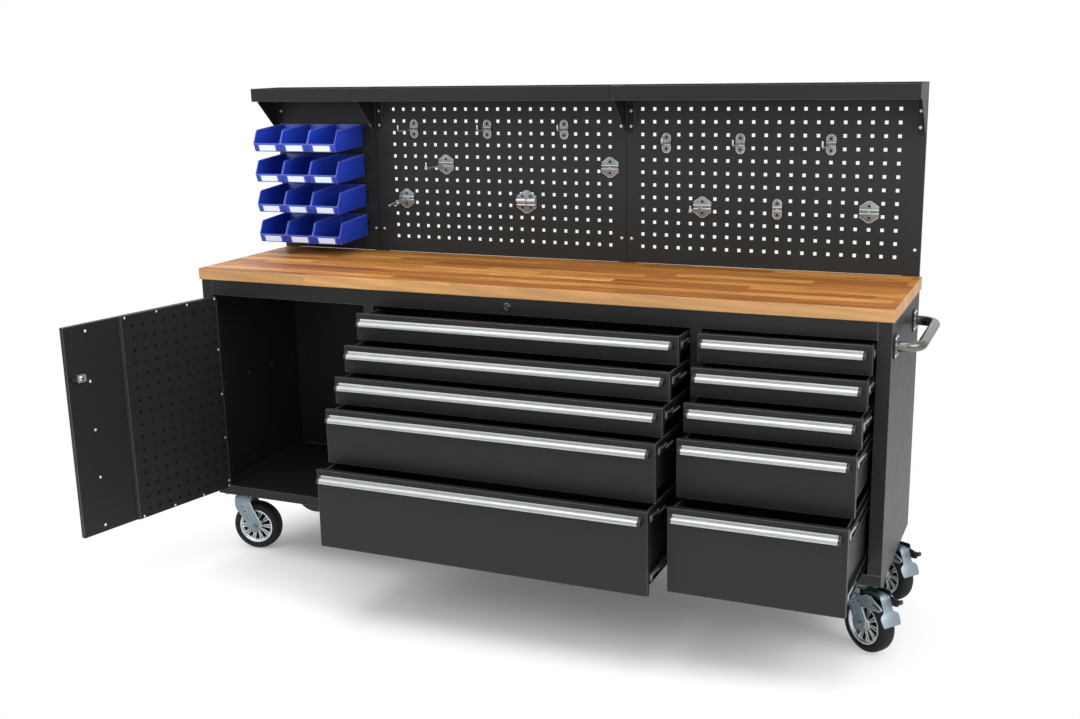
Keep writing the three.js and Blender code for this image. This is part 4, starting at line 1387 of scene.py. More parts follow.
@dataclass
class Slides:
    """Zinc-plated skins on the drawer slides, darkened as painted shade, with their ball cages and release
    latches.
    """

    bench: Bench
    finishes: Finishes
    space: float = 12.7
    metal: float = 2.0
    clearance: float = 0.6
    height: float = 35.0
    setback: float = 20.0
    length: float = 450.0
    skin: float = 0.18
    side_gap: float = 3.0
    box_top_drop: float = 7.0
    box_bottom_rise: float = 24.0
    ball: float = 2.1
    balls: int = 6
    first_ball: float = 84.0
    ball_pitch: float = 11.0
    latch: float = 0.6

    def build(self) -> None:
        """Dresses both banks."""
        for bank in BANKS:
            fixed = Form()
            for row in ROWS:
                self.dress_drawer(f"drawer_{bank}_{row}", row == ROWS[-1], fixed)
            name = f"cabinet_slide_skins_{bank}"
            self.bench.fit(name, fixed, self.finishes.zinc_in_shade, "cabinet", slot="zinc")

    def dress_drawer(self, drawer: str, is_deep: bool, fixed: Form) -> None:
        """Adds a drawer's skins, ball cages and latches.

        Args:
            drawer: The drawer's node and body.
            is_deep: Whether the drawer runs on two slides a side.
            fixed: The form for the skins on the cabinet.
        """
        low, high = self.bench.span(drawer)
        moving, cages = Form(), Form()
        start = low.y + self.setback
        back = self.bench.span("front_frame")[0].y + self.setback
        half = self.height / 2
        core = half - self.metal - self.clearance
        centres = [high.z - self.box_top_drop - half - self.clearance]
        if is_deep:
            centres.append(low.z + self.box_bottom_rise + half + self.clearance)
        for z in centres:
            for wall, way in ((low.x - self.side_gap, 1), (high.x + self.side_gap, -1)):
                box_wall = wall + way * self.space
                section = self.channel(z, box_wall, wall + way * (self.metal + self.clearance), core)
                moving.prism(section, Axis.Y, start - 0.4, start + self.length - 0.2)
                self.add_cage(cages, (box_wall - way * self.metal, start, z), -way, core)
                section = self.channel(z, wall, wall + way * (self.space - self.clearance), half)
                fixed.prism(section, Axis.Y, back - 0.3, back + self.length)
        self.bench.fit(f"{drawer}_slide_skins", moving, self.finishes.zinc_in_shade, drawer, slot="zinc")
        self.bench.fit(f"{drawer}_ball_cages", cages, self.finishes.handle, drawer, slot="zinc")

    def channel(self, z: float, wall: float, tip: float, half: float) -> list[Pair]:
        """Outlines the skin of a C-shaped channel.

        Args:
            z: The height of its middle.
            wall: Where its web's back lies.
            tip: Where its flanges end.
            half: Half its height.

        Returns:
            The section as (z, x).
        """
        way = math.copysign(1, tip - wall)
        back, inner = wall - way * self.skin, wall + way * (self.metal + self.skin)
        end = tip + way * self.skin
        reach, core = half + self.skin, half - self.metal - self.skin
        return [(z - reach, back), (z - reach, end), (z - core, end), (z - core, inner),
                (z + core, inner), (z + core, end), (z + reach, end), (z + reach, back)]

    def add_cage(self, form: Form, place: Triple, way: int, half: float) -> None:
        """Adds the balls that show in a moving channel, and the riveted release latch before them.

        Args:
            form: The form to add them to.
            place: The front of the channel's inner face.
            way: The direction along X that the face looks in.
            half: Half the channel's height.
        """
        x, y, z = place
        size = self.ball
        ball = [(0, -size), (0.7 * size, -0.7 * size), (size, 0), (0.7 * size, 0.7 * size), (0, size)]
        for level in (3.6 - half, half - 3.6):
            for number in range(self.balls):
                along = y + self.first_ball + number * self.ball_pitch
                form.turned(ball, Axis.X, (x + way * 2.6, along, z + level), 8)
        x += way * 6.4
        for low, high in (((6.0, -11.5), (26.0, 8.5)), ((32.0, -2.5), (76.0, 5.5))):
            outline = rounded_box((y + low[0], z + low[1]), (y + high[0], z + high[1]), 3.0, 3)
            form.add(Form().prism(outline, Axis.X, x - self.latch, x + self.latch).eased(0.4, 2, 50))
        neck = [(25.0, 0.5), (33.0, -0.5), (33.0, 3.5), (25.0, 4.5)]
        form.prism([(y + along, z + up) for along, up in neck], Axis.X, x - 0.5, x + 0.5)
        for along, up in ((16.0, -1.5), (68.0, 1.5)):
            form.turned(disc(2.6, way * 1.4, 0), Axis.X, (x, y + along, z + up), 12)


@dataclass
class PushHandle:
    """The bent tube on the right side with its flange plates."""

    bench: Bench
    finishes: Finishes
    radius: float = 13.6
    bend: float = 46.0
    plate: float = 4.0
    plate_half: float = 22.0
    plate_corner: float = 9.0
    screw: Pair = (4.4, 3.0)
    screw_across: float = 13.5
    screw_up: float = 22.5

    def build(self) -> None:
        """Makes the tube, the plates and their screws."""
        low, high = self.bench.span("push_handle")
        z, tall = (low.z + high.z) / 2, (high.z - low.z) / 2
        wall, front, rear = low.x, low.y + self.plate_half, high.y - self.plate_half
        bend, corner = self.bend, high.x - self.radius - self.bend
        middle = [(wall + 1, front), *arc((corner, front + bend), bend, -90, 0, 14)]
        middle += [*arc((corner, rear - bend), bend, 0, 90, 14), (wall + 1, rear)]
        tube = Form().tube([Vector((x, y, z)) for x, y in middle], self.radius, 32)
        weld = [(self.radius - 1, self.plate - 1), (self.radius + 3, self.plate - 1),
                (self.radius + 1.6, self.plate + 1.8), (self.radius - 1, self.plate + 3.4)]
        plates, screws = Form(), Form()
        for y in (front, rear):
            tube.turned(weld, Axis.X, (wall, y, z), 32)
            sides = (y - self.plate_half, z - tall), (y + self.plate_half, z + tall)
            outline = rounded_box(*sides, self.plate_corner, 5)
            plates.add(Form().prism(outline, Axis.X, wall, wall + self.plate).eased(0.8, 2))
            for across in (-self.screw_across, self.screw_across):
                for up in (-self.screw_up, self.screw_up):
                    place = moved(wall + self.plate, y + across, z + up) @ turn(90, "Z")
                    screws.add(screw(*self.screw), place)
        self.bench.fit(
            "push_tube", tube, self.finishes.stainless, "cabinet", slot="stainless", replaces=["push_handle"]
        )
        # The plates take the darkened zinc: painted shade.
        self.bench.fit("push_handle_plates", plates, self.finishes.zinc_in_shade, "cabinet", slot="zinc")
        self.bench.fit("push_handle_screws", screws, self.finishes.chrome, "cabinet", slot="stainless")


@dataclass
class Door:
    """The cupboard door's perforated inner cover, lock and screws, in the door's own shut frame."""

    bench: Bench
    finishes: Finishes
    start: float = 1.5
    outer_face: float = 5.0
    cover_width: float = 366.0
    cover_bend: float = 6.0
    cover_rise: float = 5.5
    seat: float = 19.3
    sheet: float = 1.5
    first_hole: float = 21.6
    hole: float = 10.0
    pitch: float = 38.0
    columns: int = 9
    rows: int = 16
    first_hole_height: float = 259.0
    strip: float = 482.0
    strip_screws: tuple[float, ...] = (843.0, 694.0, 548.0, 403.0, 254.0)
    hinge_screws: tuple[float, ...] = (694.0, 548.0, 403.0, 257.0)
    top_screws: tuple[float, ...] = (350.0, 235.0, 120.0, 12.5)
    bottom_screws: tuple[float, ...] = (347.0, 231.0, 118.0, 12.5)
    screw_inset: float = 6.0
    lock_place: Pair = (514.5, 711.0)
    lock_depth: float = 12.0
    barrel_shift: Pair = (3.0, 1.0)
    place: Matrix = field(init=False)
    low: float = field(init=False)
    high: float = field(init=False)

    def build(self) -> None:
        """Makes the door's finer pieces."""
        joint = self.bench.joints["door_hinge"]
        pivot = self.bench.pivot("door_hinge")
        self.place = moved(pivot.x, pivot.y, 0) @ turn(-joint["range_deg"][1], "Z")
        low, high = self.bench.span("door_cover")
        self.low, self.high = low.z, high.z
        self.cover()
        self.screws()
        self.lock()

    def fit(self, name: str, form: Form, finish: bpy.types.Material, slot: str | None = None,
            replaces: Sequence[str] = ()) -> None:
        """Adds a piece that rides on the door, as the bench's own fit does."""
        self.bench.fit(name, form, finish, "door", self.place, slot, replaces)

    @property
    def face(self) -> float:
        """Where the cover's raised face lies along the door's Y."""
        return self.seat + self.cover_rise + self.sheet

    def cover(self) -> None:
        """The raised, perforated cover with its folded edges, over a backing that hides the door."""
        left, right = self.start + self.cover_bend, self.start + self.cover_width - self.cover_bend
        face, top = self.face, self.face - self.sheet
        low, high = (left + 0.3, top - 4.4, self.low + 1.5), (right - 0.3, top - 3.4, self.high - 1.5)
        backing = Form().block(low, high)
        self.fit("door_cover_backing", backing, self.finishes.cover_paint, "black_paint")
        # Painted highlights: thin pale strips along the cover's upright edges, where the folds would catch
        # the light.
        highlight_strips = Form()
        for x in (left - 1.4, right + 0.3):
            highlight_strips.add(Form().block((x, face - 0.3, self.low + 2), (x + 1.1, face + 0.2, self.high - 2)))
        self.fit("door_cover_painted_highlights", highlight_strips, self.finishes.hook_plate, "black_paint")
        xs = self.hole_edges(left, self.first_hole, self.columns, right)
        zs = self.hole_edges(self.low, self.first_hole_height, self.rows, self.high)
        sheet = panel_grid(Form(), xs, zs, lambda column, row: column % 2 == 1 and row % 2 == 1, top, face)
        self.fit("door_cover_perforated", sheet, self.finishes.cover_paint, "black_paint", ["door_cover"])
        self.fit("door_cover_folds", self.folds(left, right), self.finishes.cover_paint, "black_paint")

    def hole_edges(self, start: float, first: float, count: int, end: float) -> list[float]:
        """The places where the perforated sheet starts, opens and closes at each hole, and ends."""
        sides = [(number, side * self.hole / 2) for number in range(count) for side in (-1, 1)]
        return [start, *(first + number * self.pitch + side for number, side in sides), end]

    def folds(self, left: float, right: float) -> Form:
        """Makes the cover's slanted sides and its flat top and bottom.

        Args:
            left: Where the cover's face starts.
            right: Where it ends.

        Returns:
            The folds.
        """
        start, end, seat, fold = self.start, self.start + self.cover_width, self.seat, self.sheet
        face, top = self.face, self.face - fold
        sides = (
            [(start + 0.3, seat), (left + 0.2, top), (left + 0.2, face), (left - 1.2, face),
             (start + 0.3, seat + fold)],
            [(right - 0.2, top), (end, seat), (end + 2.5, seat), (end + 2.5, seat + fold),
             (end + 0.6, seat + fold), (right + 1.0, face), (right - 0.2, face)],
        )
        folds = Form()
        for outline in sides:
            folds.add(Form().prism(outline, Axis.Z, self.low, self.high))
        for z in (self.low, self.high - fold):
            folds.add(Form().block((left, seat, z), (right, top + 0.1, z + fold)))
        return folds

    def screws(self) -> None:
        """Screws down the door's plain strip, its hinge edge, and the cover's top and bottom."""
        form = Form()
        face, inset = self.face, self.screw_inset
        hinge = self.start + self.cover_bend + 5.0
        outwards = turn(180, "Z")
        for z in self.strip_screws:
            form.add(screw(4.4, 2.2), moved(self.strip, self.seat + self.sheet, z) @ outwards)
        for z in self.hinge_screws:
            form.add(screw(4.0, 2.0), moved(hinge, face, z) @ outwards)
        for z, places in ((self.high - inset, self.top_screws), (self.low + inset, self.bottom_screws)):
            for x in places:
                form.add(screw(3.8, 1.9), moved(x, face, z) @ outwards)
        self.fit("door_screws", form, self.finishes.rim, "zinc")

    def lock(self) -> None:
        """Finishes for the lock, its barrel and cam inside, and its round face on the door's outside."""
        self.bench.dress("door_lock", self.finishes.handle)
        # The bolt takes the darkened zinc: painted shade.
        self.bench.dress("door_bolt", self.finishes.zinc_in_shade)
        (x, z), face = self.lock_place, self.outer_face
        bezel = [(0, face), (15, face), (15, face - 1.6), (12.5, face - 3.0), (9.6, face - 3.0),
                 (9.2, face - 2.2), (0, face - 2.2)]
        form = Form().turned(bezel, Axis.Y, (x, 0, z), 40)
        self.fit("door_lock_face", form, self.finishes.chrome, "zinc")
        # The keyway is painted shade.
        form = Form().block((x - 0.9, face - 2.5, z - 4.2), (x + 0.9, face - 2.0, z + 4.2))
        self.fit("door_lock_keyway", form, self.finishes.painted_shade)
        top = self.seat + self.lock_depth
        middle = (x + self.barrel_shift[0], 0, z + self.barrel_shift[1])
        nut = Form().prism(hexagon(8.4), Axis.Y, top - 0.5, top + 3.2).eased(0.7, 2)
        form = Form().add(nut, moved(*middle))
        barrel = [(0, top + 7.0), (4.4, top + 7.0), (5.2, top + 6.0), (5.2, top - 1.0), (0, top - 1.0)]
        form.turned(barrel, Axis.Y, middle, 24)
        for up in (z - 6.0, z + 6.0):
            clip = Form().block((x + 9.5, top - 0.4, up - 2.2), (x + 13.0, top + 1.6, up + 2.2))
            form.add(clip.eased(0.5, 2))
        self.fit("door_lock_barrel", form, self.finishes.chrome, "zinc")


@dataclass
class Bins:
    """The blue hopper bins and their label cards."""

    bench: Bench
    finishes: Finishes
    rows: int = 4
    columns: int = 3
    standoff: float = 9.5
    wall: float = 2.0
    back_height: float = 72.0
    heel: Pair = (-171.0, -81.0)
    nose: Pair = (-180.0, -55.0)
    rim: Pair = (-160.0, -13.0)
    roll: float = 1.7
    roll_inset: float = 0.6
    card_width: float = 64.0
    ledge: float = 3.0

    def build(self) -> None:
        """Makes each bin and card from shared meshes."""
        low, high = self.bench.span("bin_1_1")
        width = high.x - low.x
        shell = self.shell(width).data("bin_shell", self.finishes.bin_plastic)
        card = self.card(width).data("bin_card", self.finishes.card)
        for row in range(1, self.rows + 1):
            for column in range(1, self.columns + 1):
                node = f"bin_{row}_{column}"
                low, high = self.bench.span(node)
                place = moved(low.x, -self.standoff, high.z)
                self.bench.put(f"{node}_moulding", shell, "cabinet", place, "blue_plastic", [node])
                self.bench.put(f"{node}_card", card, "cabinet", place)

    def side(self, inset: float) -> list[Pair]:
        """Outlines a side: back top, back bottom, heel, nose and rim.

        Args:
            inset: How far inside the bin's outer face the outline runs.

        Returns:
            The outline as (y, z), from the back's top.
        """
        heel = (self.heel[0] + 0.2 * inset, self.heel[1] + 1.1 * inset)
        nose = (self.nose[0] + 1.4 * inset, self.nose[1] + 0.1 * inset)
        return [(-inset, 0.0), (-inset, inset - self.back_height), heel, nose, self.rim]

    def shell(self, width: float) -> Form:
        """Makes the bin about its back's left top corner, with walls, rolled rims, ledges and its hook.

        Args:
            width: The bin's width.

        Returns:
            The bin.
        """
        form = Form()
        wall = self.wall
        outer = [form.ring((x, y, z) for y, z in self.side(0)) for x in (0, width)]
        inner = [form.ring((x, y, z) for y, z in self.side(wall)) for x in (wall, width - wall)]
        for ring in (*outer, *inner):
            form.mesh.faces.new(ring)
        for low, high in (outer, inner):
            for here in range(3):
                form.mesh.faces.new((low[here], low[here + 1], high[here + 1], high[here]))
        for near, far in zip(outer, inner):
            form.mesh.faces.new((near[3], near[4], far[4], far[3]))
            form.mesh.faces.new((near[4], near[0], far[0], far[4]))
        for corner in (0, 3):
            form.mesh.faces.new((outer[0][corner], inner[0][corner], inner[1][corner], outer[1][corner]))
        form.eased(0.8, 2)
        (y, z), nose = self.rim, (self.nose[0] + 1, self.nose[1])
        edge = [(-1, 0), (y + 6, z + 0.8), (y, z - 1.5), (y - 1.6, z - 6), nose]
        ends = (self.roll_inset, width - self.roll_inset)
        for x in ends:
            form.tube([Vector((x, *corner)) for corner in edge], self.roll, 10)
        form.tube([Vector((x, *nose)) for x in ends], self.roll, 10)
        hook = [(-1, -3.7), (2.2, -3.7), (2.2, -14), (4.0, -14), (4.0, -1.7), (-1, -1.7)]
        form.add(Form().prism(hook, Axis.X, wall, width - wall).eased(0.5, 2))
        return form.add(self.card_frame(width))

    def slab(self, across: Pair, along: Pair, proud: Pair) -> Form:
        """Makes a slab on the front wall.

        Args:
            across: Its two sides across the bin.
            along: Its lower and upper edges up the wall from the heel.
            proud: Its back and its face out of the wall.

        Returns:
            The slab.
        """
        foot = Vector(self.heel)
        up = (Vector(self.nose) - foot).normalized()
        out = Vector((-up.y, up.x))
        places = ((along[0], proud[0]), (along[1], proud[0]), (along[1], proud[1]), (along[0], proud[1]))
        return Form().prism([tuple(foot + up * a + out * b) for a, b in places], Axis.X, *across)

    def card_frame(self, width: float) -> Form:
        """Makes the raised ledges that hold the card.

        Args:
            width: The bin's width.

        Returns:
            The ledges.
        """
        left, ledge = (width - self.card_width) / 2, self.ledge
        right = left + self.card_width
        frame = self.slab((left - ledge, right + ledge), (1.6, 3.2), (-0.5, 1.8))
        for x in (left - ledge, right):
            frame.add(self.slab((x, x + ledge), (1.6, 24.0), (-0.5, 1.8)))
        return frame

    def card(self, width: float) -> Form:
        """The blank card, in the middle of a bin of that width."""
        left = (width - self.card_width) / 2
        return self.slab((left, left + self.card_width), (3.4, 23.0), (0.1, 0.9))


@dataclass
class Castor:
    """One swivel castor in its own frame: mounting plate's underside at z = 0, trail along +X."""

    bench: Bench
    finishes: Finishes
    name: str
    trail: float = 38.0
    drop: float = 114.0
    tyre: float = 80.0
    tyre_half: float = 23.0
    rim: float = 55.0
    spokes: int = 10
    spoke_lean: float = 5.6
    leg_inner: float = 25.5
    leg: float = 4.0
    crown_top: float = -12.3
    crown_half: float = 27.0
    foot: float = 25.0
    arm: float = 2.4
    spring: Pair = (7.0, 7.5)
    spring_turns: int = 4
    plate_bolts: Pair = (46.0, 36.0)
    place: Matrix = field(init=False)

    def build(self) -> None:
        """Makes the wheel, the fork, the head and, on a braked castor, the brake."""
        pivot = self.bench.pivot(f"castor_swivel_{self.name}")
        axis = self.bench.joints[f"castor_wheel_spin_{self.name}"]["axis"]
        heading = math.degrees(math.atan2(-axis[0], axis[1]))
        self.place = moved(*pivot) @ turn(heading, "Z")
        self.wheel()
        self.fork()
        self.axle_bolt()
        self.head()
        if f"pedal_{self.name}" in self.bench.frame["bodies"]:
            hinge = self.place.inverted() @ self.bench.pivot(f"brake_pedal_press_{self.name}")
            self.brake_cheeks(hinge)
            self.brake_arms()
            self.pedal(moved(hinge.x, 0, hinge.z))

    def fit(self, piece: str, form: Form, finish: bpy.types.Material, body: str = "castor",
            place: Matrix | None = None, replaces: Sequence[str] = ()) -> None:
        """Adds a piece of this castor.

        Args:
            piece: The piece's name, to which the castor's is added.
            form: Its form.
            finish: Its material.
            body: Which of the castor's bodies it rides on.
            place: Its place in the castor's frame.
            replaces: The CAD nodes that it stands for, without the castor's name.
        """
        local = self.place if place is None else self.place @ place
        nodes = [f"{node}_{self.name}" for node in replaces]
        slot = "wheel" if body == "wheel" else "zinc"
        self.bench.fit(f"{piece}_{self.name}", form, finish, f"{body}_{self.name}", local, slot, nodes)

    @property
    def outer(self) -> float:
        """How far the legs' outer faces lie from the wheel's middle."""
        return self.leg_inner + self.leg

    def outwards(self, way: int, profile: Sequence[Pair]) -> list[Pair]:
        """A profile of (radius, along) whose places count from a leg's outer face outwards."""
        return [(radius, way * (self.outer + along)) for radius, along in profile]

    def wheel(self) -> None:
        """A rubber tyre on a rim of double spokes, about its axle."""
        hub = moved(self.trail, 0, -self.drop)
        half = self.tyre_half
        section = [(51, 15), (55.5, 20.5), (57.5, 21.6), (63, 22.2), (64, half), (69.5, half), (73.5, 21.2),
                   (76.8, 18), (79, 13.2), (self.tyre, 6.5)]
        tyre = Form().turned(mirrored(section), Axis.Y, (0, 0, 0), 72)
        self.fit("castor_tyre", tyre, self.finishes.rubber, "wheel", hub, ["castor_wheel"])
        edge = self.rim + 1.4
        lip = [(47.5, 10), (47.5, 15.5), (50.5, 19.0), (53, 21.6), (edge, 21.8), (edge, 19)]
        boss = [(6.6, 23.5), (12.5, 23.5), (13.2, 21.5), (17.2, 20.5), (19.0, 17.0), (19.0, 6)]
        rim = Form().turned(mirrored(lip), Axis.Y, (0, 0, 0), 72)
        rim.turned(mirrored(boss), Axis.Y, (0, 0, 0), 40)
        spoke = self.spoke()
        for number in range(self.spokes):
            for lean in (-self.spoke_lean, self.spoke_lean):
                rim.add(spoke, turn(360 / self.spokes * number + lean, "Y"))
        self.fit("castor_rim", rim, self.finishes.rim, "wheel", hub)
        # A dark web between hub and rim, seen between the spokes: painted shade.
        web = Form().turned([(18, -6), (49, -6), (49, 6), (18, 6)], Axis.Y, (0, 0, 0), 48)
        self.fit("castor_rim_web", web, self.finishes.painted_shade, "wheel", hub)

    def spoke(self) -> Form:
        """Makes one slim spoke along +X on each face of the wheel, which widens to the rim.

        Returns:
            The pair of spokes.
        """
        form = Form()
        for way in (-1, 1):
            rings = []
            for x, half, deep in ((15, 1.7, 17.0), (30, 1.9, 15.5), (44, 2.3, 16.8), (49.5, 3.2, 18.4)):
                outer, inner = way * deep, way * (deep - 5.5)
                corners = ((inner, -half), (outer, -half), (outer, half), (inner, half))
                rings.append(form.ring((x, y, z) for y, z in corners))
            form.loft(rings)
        return form.eased(0.7, 2, 50)

    def leg_outline(self) -> list[Pair]:
        """Outlines a fork leg, which leans back from the crown to its round foot about the axle.

        Returns:
            The outline as (z, x).
        """
        crown, foot = self.crown_top, (self.trail - 5.0, 4.0 - self.drop)
        points = [(-28.0, crown - 5), (-28.5, crown - 26)]
        heel = (foot[0] - self.foot + 0.5, foot[1] + 6)
        points += curve((-26.0, crown - 40), (-10.0, crown - 66), heel, 10)
        points += arc(foot, self.foot, 185, 375, 18)
        points += [(46.0, crown - 62), (34.5, crown - 38), (27.0, crown - 18), (27.0, crown - 5),
                   (22.0, crown), (-22.0, crown)]
        return [(z, x) for x, z in points]

    def crown(self) -> Form:
        """Makes the fork's crown, with its round shoulders over the legs.

        Returns:
            The crown.
        """
        outer, leg, inner = self.outer, self.leg, self.leg_inner
        section = [*arc((6 - outer, -6), 6, 180, 90, 5), *arc((outer - 6, -6), 6, 90, 0, 5),
                   (outer - leg, -7), (inner - 3, -leg), (3 - inner, -leg), (leg - outer, -7)]
        lifted = [(y, z + self.crown_top) for y, z in section]
        return Form().prism(lifted, Axis.X, -self.crown_half, self.crown_half)

    def fork(self) -> None:
        """The pressed fork: legs and crown, with beads, axle bosses, a painted highlight strip along each
        leg's edge, and lightening pits painted as dark shade inside highlight rings.
        """
        top = self.crown_top
        form, highlight_strips, pits = Form(), Form(), Form()
        for start, end in ((-self.outer, -self.leg_inner), (self.leg_inner, self.outer)):
            form.add(Form().prism(self.leg_outline(), Axis.Y, start, end).eased(1.1, 2))
        form.add(self.crown().eased(0.7, 2))
        boss = [(0, -1), (13.5, -1), (13.5, 1.0), (11.5, 1.8), (0, 1.8)]
        bead = ((-12.0, -14.0), (-10.0, -30.0), (-2.0, -50.0), (8.0, -68.0), (17.0, -82.0))
        edge = ((26.2, top - 18), (33.7, top - 38), (45.0, top - 62), (57.2, -96.0), (57.4, -108.0),
                (55.2, -118.0))
        pit_lip = [(4.2, -0.2), (4.2, 0.5), (5.2, 0.6), (5.8, -0.2)]
        for way in (-1, 1):
            face = way * (self.outer + 0.2)
            form.turned(self.outwards(way, boss), Axis.Y, (self.trail, 0, -self.drop), 28)
            form.tube([Vector((x, face, top + z)) for x, z in bead], 1.1, 8)
            # Painted highlight: a pale strip along each leg's front edge.
            highlight_strips.tube([Vector((x, face, z)) for x, z in edge], 1.5, 8)
            # Lightening pits: dark discs of painted shade inside pale rings of painted highlight.
            for x, z in ((0.0, -44.0), (6.0, -62.0)):
                highlight_strips.turned(self.outwards(way, pit_lip), Axis.Y, (x, 0, z), 20)
                pits.turned(self.outwards(way, disc(4.2, 0.2, -0.4)), Axis.Y, (x, 0, z), 20)
        self.fit("castor_fork_pressing", form, self.finishes.zinc, replaces=["castor_fork"])
        self.fit("castor_fork_painted_highlight", highlight_strips, self.finishes.rim)
        self.fit("castor_fork_pits", pits, self.finishes.painted_shade)

    def axle_bolt(self) -> None:
        """The axle's bolt with a nut and a thread's end on each side."""
        form = Form()
        axle = (self.trail, 0, -self.drop)
        stub = [(0, 1.6), (5.0, 1.6), (5.0, 9.8), (4.2, 10.8), (0, 10.8)]
        for way in (-1, 1):
            start, end = sorted((way * (self.outer + 1.6), way * (self.outer + 7.6)))
            form.add(Form().prism(hexagon(9.4, 90), Axis.Y, start, end).eased(0.8), moved(*axle))
            form.turned(self.outwards(way, stub), Axis.Y, axle, 20)
        form.turned(disc(6.0, -self.leg_inner - 1, self.leg_inner + 1), Axis.Y, axle, 20)
        self.fit("castor_axle_bolt", form, self.finishes.zinc)

    def head(self) -> None:
        """The swivel head: two raceway cups with the balls' gap between them, the king pin and the bolts."""
        upper = [(0, -0.3), (30, -0.3), (35, -2.0), (37, -5.2), (34.5, -5.6), (31, -3.6), (0, -3.6)]
        lower = [(0, -6.2), (30, -6.2), (34, -7.4), (34.5, -9.8), (31, -12.6), (27, -14.4), (0, -14.4)]
        king_pin = [(0, -14), (11, -14), (11, -19), (8, -21.5), (0, -21.5)]
        form = Form()
        for profile, sides in ((upper, 48), (lower, 48), (disc(28, -3.4, -6.4), 32), (king_pin, 24)):
            form.turned(profile, Axis.Z, (0, 0, 0), sides)
        self.fit("castor_head", form, self.finishes.zinc)
        bolts = Form()
        across, along = self.plate_bolts
        for x in (-across, across):
            for y in (-along, along):
                bolts.add(Form().prism(hexagon(6.4), Axis.Z, -4.6, 0.0).eased(0.6), moved(x, y, 0))
        plate = moved(*self.place.translation)
        self.bench.fit(f"castor_plate_bolts_{self.name}", bolts, self.finishes.zinc, "cabinet", plate, "zinc")

    def brake_cheeks(self, hinge: Vector) -> None:
        """Makes the brake's fixed inner parts: cheeks that carry the pin, and the return spring, in zinc
        darkened as painted shade.

        Args:
            hinge: The pedal's pin in the castor's frame.
        """
        form = Form()
        outline = [(4.0, -16.6), (40.0, -16.6), (58.0, -11.0), (88.0, -8.0), (94.0, -11.0), (93.0, -20.0),
                   (86.0, -27.0), (70.0, -31.5), (6.0, -31.5)]
        for start, end in ((-21.2, -18.8), (18.8, 21.2)):
            form.add(Form().prism([(z, x) for x, z in outline], Axis.Y, start, end).eased(0.6, 2))
        form.add(Form().block((30.0, -19.0, -20.0), (52.0, 19.0, -17.6)).eased(0.5, 2))
        radius, half = self.spring
        steps = 12 * self.spring_turns
        turns = arc((hinge.x, hinge.z), radius, 0, 360 * self.spring_turns, steps)
        coil = [Vector((x, half * (2 * step / steps - 1), z)) for step, (x, z) in enumerate(turns)]
        form.tube(coil, 1.1, 8)
        # The cheeks and spring take the darkened zinc: painted shade.
        self.fit("brake_cheeks", form, self.finishes.zinc_in_deep_shade)

    def brake_arms(self) -> None:
        """The brake's slotted outer arms with their rivets, painted highlight strips along their edges, and
        slots painted as dark shade.
        """
        form, slots, highlight_strips = Form(), Form(), Form()
        outer, arm = self.outer, self.arm
        outline = [(12.0, -30.0), (40.0, -29.0), (60.0, -19.0), (72.0, -20.0), (98.0, -33.0), (112.0, -39.0),
                   (114.0, -46.0), (107.0, -51.0), (78.0, -55.0), (45.0, -59.0), (34.0, -66.0), (24.0, -58.0)]
        for start, end in ((-outer - arm, -outer), (outer, outer + arm)):
            form.add(Form().prism([(z, x) for x, z in outline], Axis.Y, start, end).eased(0.7, 2))
        rivet = [(0, arm + 1.6), (3.0, arm + 1.5), (4.3, arm + 0.4), (4.3, arm - 1), (0, arm - 1)]
        slot = arc((82.0, -39.0), 2.6, 110, 290, 6) + arc((103.0, -44.0), 2.6, -70, 110, 6)
        for way in (-1, 1):
            face = way * (outer + arm)
            for x, z in ((24.0, -40.0), (30.0, -54.0)):
                form.turned(self.outwards(way, rivet), Axis.Y, (x, 0, z), 16)
            # Painted highlights: pale strips along the arms' upper and lower edges.
            for line in (outline[1:7], outline[7:10]):
                highlight_strips.tube([Vector((x, face - way * 0.2, z - 0.4)) for x, z in line], 0.9, 8)
            # The slots are painted shade.
            low, high = sorted((face - way * 0.6, face + way * 0.15))
            slots.add(Form().prism([(z, x) for x, z in slot], Axis.Y, low, high))
        self.fit("brake_arms", form, self.finishes.zinc)
        self.fit("brake_arm_painted_highlights", highlight_strips, self.finishes.rim)
        self.fit("brake_arm_slots", slots, self.finishes.painted_shade)

    def pedal(self, pin: Matrix) -> None:
        """Makes the brake pedal: a strap over the tyre with a broad foot pad, and its black release tab.

        Args:
            pin: The place of its pin in the castor's frame.
        """
        strap = [
            (-5.0, 5.6, 12.5), (6.0, 6.0, 12.5), (16.0, 6.0, 14.5), (22.0, 5.4, 16.5), (26.0, 3.0, 17.0),
            (28.6, -1.5, 17.0), (33.0, -12.5, 17.0), (38.0, -25.5, 16.4), (41.0, -33.0, 17.0),
            (42.8, -36.6, 24.0), (44.4, -39.7, 29.0), (46.8, -44.4, 32.0), (50.2, -51.1, 32.5),
            (53.6, -57.7, 31.5), (56.5, -63.4, 30.5), (58.2, -66.8, 29.0), (59.1, -68.5, 26.5),
        ]
        form = Form().ribbon(strap, 3.0).eased(0.9, 2)
        cheeks = [(8.6, -9.0), (8.6, 14.0), (4.0, 20.0), (-6.0, 16.0), (-8.0, 10.0), (-8.0, -9.0)]
        for start, end in ((-11.5, -8.9), (8.9, 11.5)):
            form.add(Form().prism(cheeks, Axis.Y, start, end).eased(0.6, 2))
        for way in (-1, 1):
            form.tube([Vector((x + 2.67, way * 9.5, z + 1.35)) for x, z, _ in strap[5:9]], 1.0, 8)
        form.turned(disc(4, -32.6, 32.6), Axis.Y, (0, 0, 0), 20)
        for way in (-1, 1):
            head = [(0, way * 32.0), (6.4, way * 32.0), (6.4, way * 33.0), (4.4, way * 34.2), (0, way * 34.2)]
            form.turned(head, Axis.Y, (0, 0, 0), 20)
